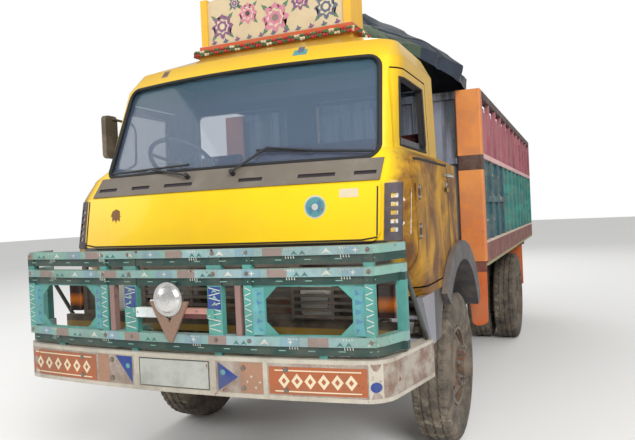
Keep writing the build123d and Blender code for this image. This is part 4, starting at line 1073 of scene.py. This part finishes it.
def headboard_patterns():
    for x, z, radius, petals, heart in FLOWERS:
        for number in range(4):
            angle = math.pi / 4 + number * math.pi / 2
            leaf = (x + radius * 1.02 * math.cos(angle), z + radius * 1.02 * math.sin(angle))
            yield 0, "leaf_paint", ring_of(*leaf, (radius * 0.4, radius * 0.16), 4, angle)
        yield 1, petals, ring_of(x, z, (radius, radius * 0.86, radius * 0.62, radius * 0.86), 32)
        yield 2, "cream_paint", ring_of(x, z, (radius * 0.64, radius * 0.5), 16)
        yield 3, petals, ring_of(x, z, (radius * 0.5, radius * 0.4), 14)
        yield 4, heart, ring_of(x, z, (radius * 0.24,), 12)
    for number in range(11):
        finish = "slate_paint" if number % 2 else "purple_paint"
        yield 1, finish, ring_of(-480 + number * 96, 2872, (26, 12), 8, 0.2)
    yield 0, "pale_edge", rect(-505, 505, 2856, 2862)


# Small stickers and plain marks of the front lid and header
def lid_patterns():
    yield 0, "brown_ink", ring_of(-715, 1636, (46, 17), 16)
    yield 1, "brown_ink", ring_of(-715, 1636, (26,), 12)
    yield 0, "white_paint", ring_of(628, 1634, (62,), 24)
    yield 1, "sky_paint", ring_of(628, 1634, (54,), 24)
    yield 2, "blue_paint_mid", ring_of(628, 1634, (44, 12), 24)
    yield 3, "white_paint", ring_of(628, 1634, (18,), 12)
    yield 0, "cream_paint", rect(760, 862, 1676, 1722)


def header_patterns():
    # painted shade: a dark sheet on the cab behind the scuttle's slots
    yield 0, "slot_dark", rect(-962, 962, 1768, 1880)
    for side in (-1, 1):
        yield 0, "slot_pale", rect(*sorted((side * 1000, side * 1112)), 1470, 1710)
    yield 0, "sky_paint", rect(352, 440, 2560, 2640)
    yield 1, "slate_paint", rect(376, 416, 2580, 2620)
    yield 0, "mauve_paint_pale", rect(-652, -592, 2560, 2612)
    yield 1, "brown_ink", rect(-640, -604, 2570, 2602)


# Painted motifs of the lower boards near the front
def board_patterns():
    for number in range(3):
        for row in range(3):
            y, z = aft_mm(2860 + number * 438), 1478 + row * 202
            finish = ("cream_paint", "pink_paint", "sky_paint")[(number + row) % 3]
            yield 0, "slate_paint", ring_of(y, z, (60, 44), 12)
            yield 1, finish, ring_of(y, z, (40, 14), 12, row)
            for reach in (-98, 98):
                yield 0, finish, ring_of(y + reach, z, (34, 10), 4)


def add_paintwork():
    painted("guard_motifs", surface_of("guard"), guard_patterns(), "chassis", "guard_paint")
    painted("bumper_panels", surface_of("front_bumper"), bumper_patterns(), "chassis", "bumper_paint")
    painted("headboard_flowers", surface_of("headboard"), headboard_patterns(), "chassis", "board_paint")
    painted("lid_marks", surface_of("front_lid"), lid_patterns(), "front_lid", "cab_paint")
    painted("header_marks", surface_of("cab_shell"), header_patterns(), "chassis", "cab_paint")
    boards = surface_of("body_sides")
    for view in ("left", "right"):
        painted("board_motifs_" + view, boards, board_patterns(), "chassis", "side_paint", view)


# Garland of small paper tufts under the headboard
GARLAND_ROWS = (2.783, 2.803)
GARLAND_HALF = 0.606
TUFT_PITCH = 0.021
TUFT_SIZES = (0.010, 0.0135)
TUFT_FINISHES = (0, 1, 2, 1, 0, 1)


def add_garland():
    form = bmesh.new()
    source = random.Random(7)
    spots = []
    for row, z in enumerate(GARLAND_ROWS):
        x = -GARLAND_HALF
        while x <= GARLAND_HALF + MM:
            spots.append((Vector((x, aft(1252), z)), row))
            x += TUFT_PITCH
        for side in (-1, 1):
            for number in range(11):
                spots.append((Vector((side * 0.622, aft(1262) + number * 0.026, z)), row))
    for number, (at, row) in enumerate(spots):
        kind = TUFT_FINISHES[(number // 2 + row * 3) % 6]
        turn = Matrix.Rotation(source.uniform(0, 3), 4, "Y") @ Matrix.Rotation(source.uniform(0, 3), 4, "X")
        size = source.uniform(*TUFT_SIZES)
        place = Matrix.Translation(at) @ turn
        made = bmesh.ops.create_icosphere(form, subdivisions=2, radius=size, matrix=place)
        for vertex in made["verts"]:
            vertex.co += (vertex.co - at) * source.uniform(-0.3, 0.25)
            for face in vertex.link_faces:
                face.material_index = kind
    piece("garland", form, "chassis", "board_paint", "garland_red", "garland_green", "cream_paint")


# Trim: lid edge line, bolts, hinges, handles, rivets and the tailgate's plate
LID_EDGE = ((-962, 1738), (-962, 1452), (962, 1452), (962, 1738))
DOOR_HINGE_HEIGHTS = (1.48, 1.69)
HINGE_BOLT_ROWS = (676, 706)
HINGE_BOLT_HALF = 0.026
BELT_Z = 1.872
BELT_PLACES = range(716, 1469, 47)
HANDLE = (1400, 1.80)
HANDLE_BAR = (
    # distance out from the door, distance along it
    (0, -0.075), (0.034, -0.075), (0.040, -0.061), (0.040, 0.061), (0.034, 0.075), (0, 0.075),
)
RIVET_PITCH = 164
RIVET_ROWS = (0.775, 0.925)
FRAME_HALF = 0.430
SPRING_PLACES = ((FRONT_Y, 0.385), (REAR_Y, 0.50))


def bolts_on(form, node, view, places, heights, radius):
    """Bolts on a node's face in a grid of places and heights."""
    for hit in hits(surface_of(node), view, [(x, z) for x in places for z in heights]):
        bolt(form, hit, -VIEWS[view][1], radius)


def add_front_trim():
    form = bmesh.new()
    line = divided(zip(LID_EDGE, LID_EDGE[1:]), 24)
    tube(form, hits(surface_of("front_lid"), "front", line), 0.0045, 6)
    piece("lid_edge", form, "front_lid", "black_plastic", "rubber")
    form = bmesh.new()
    posts = (-1.032, -0.44, -0.258, 0.258, 0.44, 1.032)
    bolts_on(form, "guard", "front", posts, (1.002, 1.326, 1.427), 0.0075)
    piece("guard_bolts", form, "chassis", "steel", "bolt_steel")
    form = bmesh.new()
    bolts_on(form, "front_bumper", "front", (-0.62, -0.40, 0.40, 0.62), (0.775, 0.872), 0.010)
    piece("bumper_bolts", form, "chassis", "steel", "bolt_steel")


def add_door_trim():
    for side, view, body in DOORS:
        panel = surface_of(body)
        out = Vector((side, 0, 0))
        form = bmesh.new()
        tube(form, hits(panel, view, [(aft(y), BELT_Z) for y in BELT_PLACES]), 0.008, 6)
        piece(body + "_belt", form, body, "black_plastic", "rubber")

        form = bmesh.new()
        shifts = (-HINGE_BOLT_HALF, HINGE_BOLT_HALF)
        grid = [(y, z + shift) for z in DOOR_HINGE_HEIGHTS for y in HINGE_BOLT_ROWS for shift in shifts]
        for hit in hits(panel, view, [(aft(y), z) for y, z in grid]):
            bolt(form, hit + out * 0.002, out, 0.006)
        hit = hits(panel, view, [(aft(HANDLE[0]), HANDLE[1])])[0]
        tube(form, [hit + Vector((side * reach, y, 0)) for reach, y in HANDLE_BAR], 0.009, 8)
        lock = hit + Vector((0, 0.045, -0.05))
        lathe(form, lock, out, [(-0.002, 0.014), (0.005, 0.014), (0.008, 0.008)], 14)
        piece(body + "_fittings", form, body, "steel", "chrome")
        leaves = []
        for z in DOOR_HINGE_HEIGHTS:
            leaves.append((0, "slot_dark", rect(aft_mm(664), aft_mm(724), z * 1000 - 42, z * 1000 + 42)))
        painted(body + "_hinge_leaves", panel, leaves, body, "black_plastic", view)


def add_chassis_trim():
    form = bmesh.new()
    for side in (-1, 1):
        for number in range(44):
            for z in RIVET_ROWS:
                at = Vector((side * FRAME_HALF, aft(420 + number * RIVET_PITCH), z))
                bolt(form, at, (side, 0, 0), 0.008)
    piece("frame_rivets", form, "chassis", "steel", "frame")

    form = bmesh.new()
    for y, x in SPRING_PLACES:
        for side in (-1, 1):
            for shift in (-0.075, 0.075):
                for edge in (-0.044, 0.044):
                    at = Vector((side * x + edge, y + shift, 0.395))
                    tube(form, (at, at + UP * 0.27), 0.009, 8)
                    bolt(form, at - UP * 0.004, -UP, 0.012)
    piece("axle_bolts", form, "chassis", "steel", "cast")


def add_tailgate_trim():
    form = bmesh.new()
    gate = surface_of("tailgate")
    back = Vector((0, 1, 0))
    for hit in hits(gate, "back", [(-1.05, 1.90), (1.05, 1.90)]):
        tube(form, (hit + Vector((0, 0.012, -0.07)), hit + Vector((0, 0.016, 0.05))), 0.009, 8)
        bolt(form, hit + Vector((0, 0.002, -0.07)), back, 0.012)
        bolt(form, hit + Vector((0, 0.002, 0.02)), back, 0.008)
    bolts_on(form, "tailgate", "back", (-0.9, -0.3, 0.3, 0.9), (1.40, 1.62, 1.86), 0.008)
    piece("tailgate_fittings", form, "tailgate", "steel", "bolt_steel")
    form = bmesh.new()
    face = hits(gate, "back", [(0.12, 1.45)])[0].y + 0.010
    slab(form, (-0.262, face, 1.392), (0.262, face + 0.004, 1.516), 0.0015)
    slab(form, (-0.252, face + 0.0042, 1.402), (0.252, face + 0.0052, 1.506), 0.0, 1)
    piece("tailgate_plate", form, "tailgate", "side_paint", "plate_dark", "plate_bare")


# Load cover: one stiff canvas heaped over the back of the roof and the front of the load space
COVER_STAGES = (
    # distance aft, half width, lower edge, shoulder, crown
    (1650, 560, 2770, 2985, 3070),
    (2060, 830, 2772, 2950, 3205),
    (2420, 1115, 2590, 2850, 3315),
    (2885, 1085, 2590, 2790, 3225),
)
COVER_ROWS = 96
COVER_COLUMNS = 120
COVER_HEM = 12
FOLD_DEPTH = 0.044
CREASE_DEPTH = 0.050


def on_line(points, share):
    """A point of an open line of points, in any number of measures, for a share from 0 to 1."""
    place = share * (len(points) - 1)
    number = min(int(place), len(points) - 2)
    return [one + (two - one) * (place - number) for one, two in zip(points[number], points[number + 1])]


def cover_point(along, turn):
    """A point of the heap: along it from 0 to 1, and from one low edge over to the other."""
    distance, half, low, shoulder, crown = on_line(COVER_STAGES, along)
    haunch = shoulder + (crown - shoulder) * 0.45
    side = [(half - 20, low), (half, (low + shoulder) / 2), (half * 0.9, shoulder - 20)]
    side += [(half * 0.62, haunch), (half * 0.3, crown - 30)]
    x, z = on_line([(-x, z) for x, z in side] + [(0, crown)] + side[::-1], turn)
    return Vector((x * MM, aft(distance), z * MM))


def lumps(x, y, z):
    """Smooth noise at a place."""
    return noise.noise(Vector((x, y, z)))


def cover_spot(row, turn):
    """A corner of the cover with its folds, creases and hanging ends."""
    at = cover_point(min(max(row / COVER_ROWS, 0.0), 1.0), turn)
    over = max(-row, row - COVER_ROWS, 0) / COVER_HEM
    low = COVER_STAGES[0][2] if row <= 0 else COVER_STAGES[-1][2]
    at.z += (low * MM - at.z) * over
    fold = lumps(at.x * 1.2 + 3, at.y * 3.4, at.z * 1.2)
    fold += 0.5 * lumps(at.x * 6.1, at.y * 5.0 + at.x * 4, at.z * 5)
    crease = abs(lumps(at.x * 3.1 + at.y * 2.2, at.y * 3.9 - at.x * 2.0, 4.0 + at.z * 2))
    pull = FOLD_DEPTH * (fold - 0.55) - CREASE_DEPTH * (1 - min(1.0, crease * 5))
    inward = Vector((-at.x, 0, 2.5 - at.z)).normalized()
    at -= inward * pull * max(0.25, math.sin(math.pi * turn) ** 0.35)
    at.y += 0.012 * noise.noise(at * 7.0) * (1 - over)
    drop = lumps(at.x * 6.5 + 9, 1.0 if row > 0 else 5.0, at.z * 1.1)
    at.y += 0.07 * drop * min(1.0, over * 2.5)
    return at


def add_cover():
    form = bmesh.new()
    turns = [column / COVER_COLUMNS for column in range(COVER_COLUMNS + 1)]
    rows = range(-COVER_HEM, COVER_ROWS + COVER_HEM + 1)
    grid = [[form.verts.new(cover_spot(row, turn)) for turn in turns] for row in rows]
    for one, two in zip(grid, grid[1:]):
        for column in range(COVER_COLUMNS):
            form.faces.new((one[column], one[column + 1], two[column + 1], two[column]))
    made = piece("load_cover", form, "chassis", "canvas", "canvas", smooth=True)
    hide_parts("tarp_bundle")


# Seats: padded covers blown up from the CAD solids' sizes
def islands(data):
    """Bounding boxes of a mesh's separate solids."""
    form = bmesh.new()
    form.from_mesh(data)
    bmesh.ops.remove_doubles(form, verts=form.verts, dist=1e-6)
    left = set(form.verts)
    boxes = []
    while left:
        group = [left.pop()]
        for vertex in group:
            for edge in vertex.link_edges:
                other = edge.other_vert(vertex)
                if other in left:
                    left.discard(other)
                    group.append(other)
        low = Vector([min(vertex.co[axis] for vertex in group) for axis in range(3)])
        high = Vector([max(vertex.co[axis] for vertex in group) for axis in range(3)])
        boxes.append((low, high))
    form.free()
    return sorted(boxes, key=lambda box: tuple(box[0]))


PAD_INSET = 0.012
PAD_SWELL = 0.016
PAD_VOXEL = 0.014
PAD_PRESSURE = 4
CLOTH_FRAMES = 20
CHANNEL_PITCH = 0.115
CHANNEL_DEPTH = 0.007
CHANNEL_SHARE = 0.2
PAD_FACE = 0.6
PAD_GAP = 0.0005


def add_seats():
    for number, (low, high) in enumerate(islands(nodes["seats"].data)):
        form = bmesh.new()
        middle, size = (low + high) / 2, high - low - Vector((PAD_INSET,) * 3) * 2
        bmesh.ops.create_cube(form, size=1, matrix=Matrix.Translation(middle) @ Matrix.Diagonal((*size, 1)))
        bmesh.ops.bevel(form, geom=form.edges[:], offset=0.022, segments=3, affect="EDGES")
        made = piece(f"seat_pad_{number}", form, "chassis", "seat_cover", "seat", smooth=True)
        remesh = made.modifiers.new("even", "REMESH")
        remesh.mode = "VOXEL"
        remesh.voxel_size = PAD_VOXEL
        bake(made)
        start = [vertex.co.copy() for vertex in made.data.vertices]
        padding = made.modifiers.new("padding", "CLOTH")
        padding.settings.use_pressure = True
        padding.settings.uniform_pressure_force = PAD_PRESSURE
        padding.settings.effector_weights.gravity = 0
        scene = bpy.context.scene
        for step in range(1, CLOTH_FRAMES + 1):
            scene.frame_set(step)
        bake(made)
        scene.frame_set(1)
        thin = min(range(3), key=lambda axis: size[axis])
        for vertex, before in zip(made.data.vertices, start):
            move = vertex.co - before
            if move.length > PAD_SWELL:
                vertex.co = before + move.normalized() * PAD_SWELL
            reach = abs(vertex.co[thin] - middle[thin]) / (size[thin] / 2)
            if reach > PAD_FACE:
                groove = abs(((vertex.co.x - low.x) / CHANNEL_PITCH) % 1.0 - 0.5) * 2
                depth = CHANNEL_DEPTH * max(0.0, (groove - 1 + CHANNEL_SHARE) / CHANNEL_SHARE)
                vertex.co[thin] += depth if vertex.co[thin] < middle[thin] else -depth
            for axis in range(3):
                vertex.co[axis] = min(max(vertex.co[axis], low[axis] + PAD_GAP), high[axis] - PAD_GAP)
        finer = made.modifiers.new("finer", "SUBSURF")
        finer.levels = finer.render_levels = 1
        bake(made)
        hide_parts("seats")


def bake(made):
    """Applies a piece's modifiers and keeps the result as its mesh."""
    bpy.context.view_layer.update()
    graph = bpy.context.evaluated_depsgraph_get()
    fresh = bpy.data.meshes.new_from_object(made.evaluated_get(graph))
    made.modifiers.clear()
    made.data = fresh
    fresh.polygons.foreach_set("use_smooth", [True] * len(fresh.polygons))


# Inside of the cab: gauges, gear lever and pedals
def add_inside():
    form = bmesh.new()
    gauge = ((0, 0.040), (0.008, 0.040), (0.009, 0.034), (0.004, 0.030))
    for x, z in ((-0.66, 1.76), (-0.55, 1.77), (-0.44, 1.76)):
        lathe(form, (x, aft(792), z), (0, 1, 0.2), gauge, 20)
    lever = ((-0.30, aft(1060), 1.52), (-0.31, aft(1040), 1.70), (-0.34, aft(1010), 1.86))
    tube(form, lever, 0.009, 8)
    lathe(form, lever[-1], (0, 0, 1), [(-0.02, 0.012), (0.0, 0.024), (0.02, 0.024), (0.034, 0.010)], 12)
    for x in (-0.68, -0.58, -0.49):
        tube(form, ((x, aft(800), 1.44), (x, aft(850), 1.24)), 0.008, 6)
        lathe(form, (x, aft(852), 1.235), (0, 0.8, 0.6), [(0, 0.034), (0.012, 0.034)], 4)
    piece("cab_controls", form, "chassis", "black_plastic", "black")


# Camera, at the photograph's place
CAMERA_AT = Vector((1.928, -6.393, 1.595))
YAW = math.radians(23.17)
PITCH = math.radians(-0.54)
ROLL = math.radians(-2.60)
LENS = 35.04
SENSOR = 36
FAR = 400


def add_camera():
    ahead = Vector((-math.sin(YAW) * math.cos(PITCH), math.cos(YAW) * math.cos(PITCH), math.sin(PITCH)))
    right = Vector((math.cos(YAW), math.sin(YAW), 0))
    up = right.cross(ahead)
    turned_right = right * math.cos(ROLL) + up * math.sin(ROLL)
    turned_up = up * math.cos(ROLL) - right * math.sin(ROLL)
    data = bpy.data.cameras.new("photo_camera")
    data.lens = LENS
    data.sensor_width = SENSOR
    data.sensor_fit = "HORIZONTAL"
    data.clip_end = FAR
    camera = added("photo_camera", data)
    axes = Matrix((turned_right, turned_up, -ahead)).transposed()
    camera.matrix_world = Matrix.Translation(CAMERA_AT) @ axes.to_4x4()
    bpy.context.scene.camera = camera


FLOOR_HALF = 60
SKY_LIGHT = 0.60
SKY_SEEN = 1.0
LIGHTS = (
    # name, place, what it points at, size, watts
    ("key", (6, -10, 7), (0, -2, 1.4), 5, 1000),
    ("fill", (-9, -7, 6), (0, -1, 1.4), 7, 300),
    ("back", (-4, 12, 9), (0, 1, 1.5), 7, 420),
)


def add_floor_and_light():
    data = bpy.data.meshes.new("floor")
    corners = rect(-FLOOR_HALF, FLOOR_HALF, -FLOOR_HALF, FLOOR_HALF)
    data.from_pydata([(x, y, 0) for x, y in corners], [], [(0, 1, 2, 3)])
    floor = added("floor", data)
    graph = Graph("floor_grey")
    tone = graph.mix(graph.noise(0.4, 3), (246, 245, 243), (250, 250, 248))
    graph.set(base_color=tone, roughness=0.9)
    data.materials.append(graph.material)

    world = bpy.data.worlds.new("studio")
    bpy.context.scene.world = world
    world.use_nodes = True
    tree = world.node_tree
    background = tree.nodes["Background"]
    background.inputs["Color"].default_value = (1, 1, 1, 1)
    rays = tree.nodes.new("ShaderNodeLightPath")
    seen = tree.nodes.new("ShaderNodeMath")
    seen.operation = "MAXIMUM"
    tree.links.new(rays.outputs["Is Camera Ray"], seen.inputs[0])
    tree.links.new(rays.outputs["Is Transmission Ray"], seen.inputs[1])
    strength = tree.nodes.new("ShaderNodeMapRange")
    tree.links.new(seen.outputs[0], strength.inputs["Value"])
    strength.inputs["To Min"].default_value = SKY_LIGHT
    strength.inputs["To Max"].default_value = SKY_SEEN
    tree.links.new(strength.outputs[0], background.inputs["Strength"])

    for name, at, aim, size, power in LIGHTS:
        lamp = bpy.data.lights.new(name, "AREA")
        lamp.size = size
        lamp.energy = power
        light = added(name, lamp)
        light.location = at
        light.rotation_euler = (Vector(aim) - Vector(at)).to_track_quat("-Z", "Y").to_euler()


add_wheels()
add_seals()
add_paintwork()
add_garland()
add_front_trim()
add_door_trim()
add_chassis_trim()
add_tailgate_trim()
add_cover()
add_seats()
add_inside()
add_camera()
add_floor_and_light()
bpy.context.scene.view_settings.view_transform = "Standard"
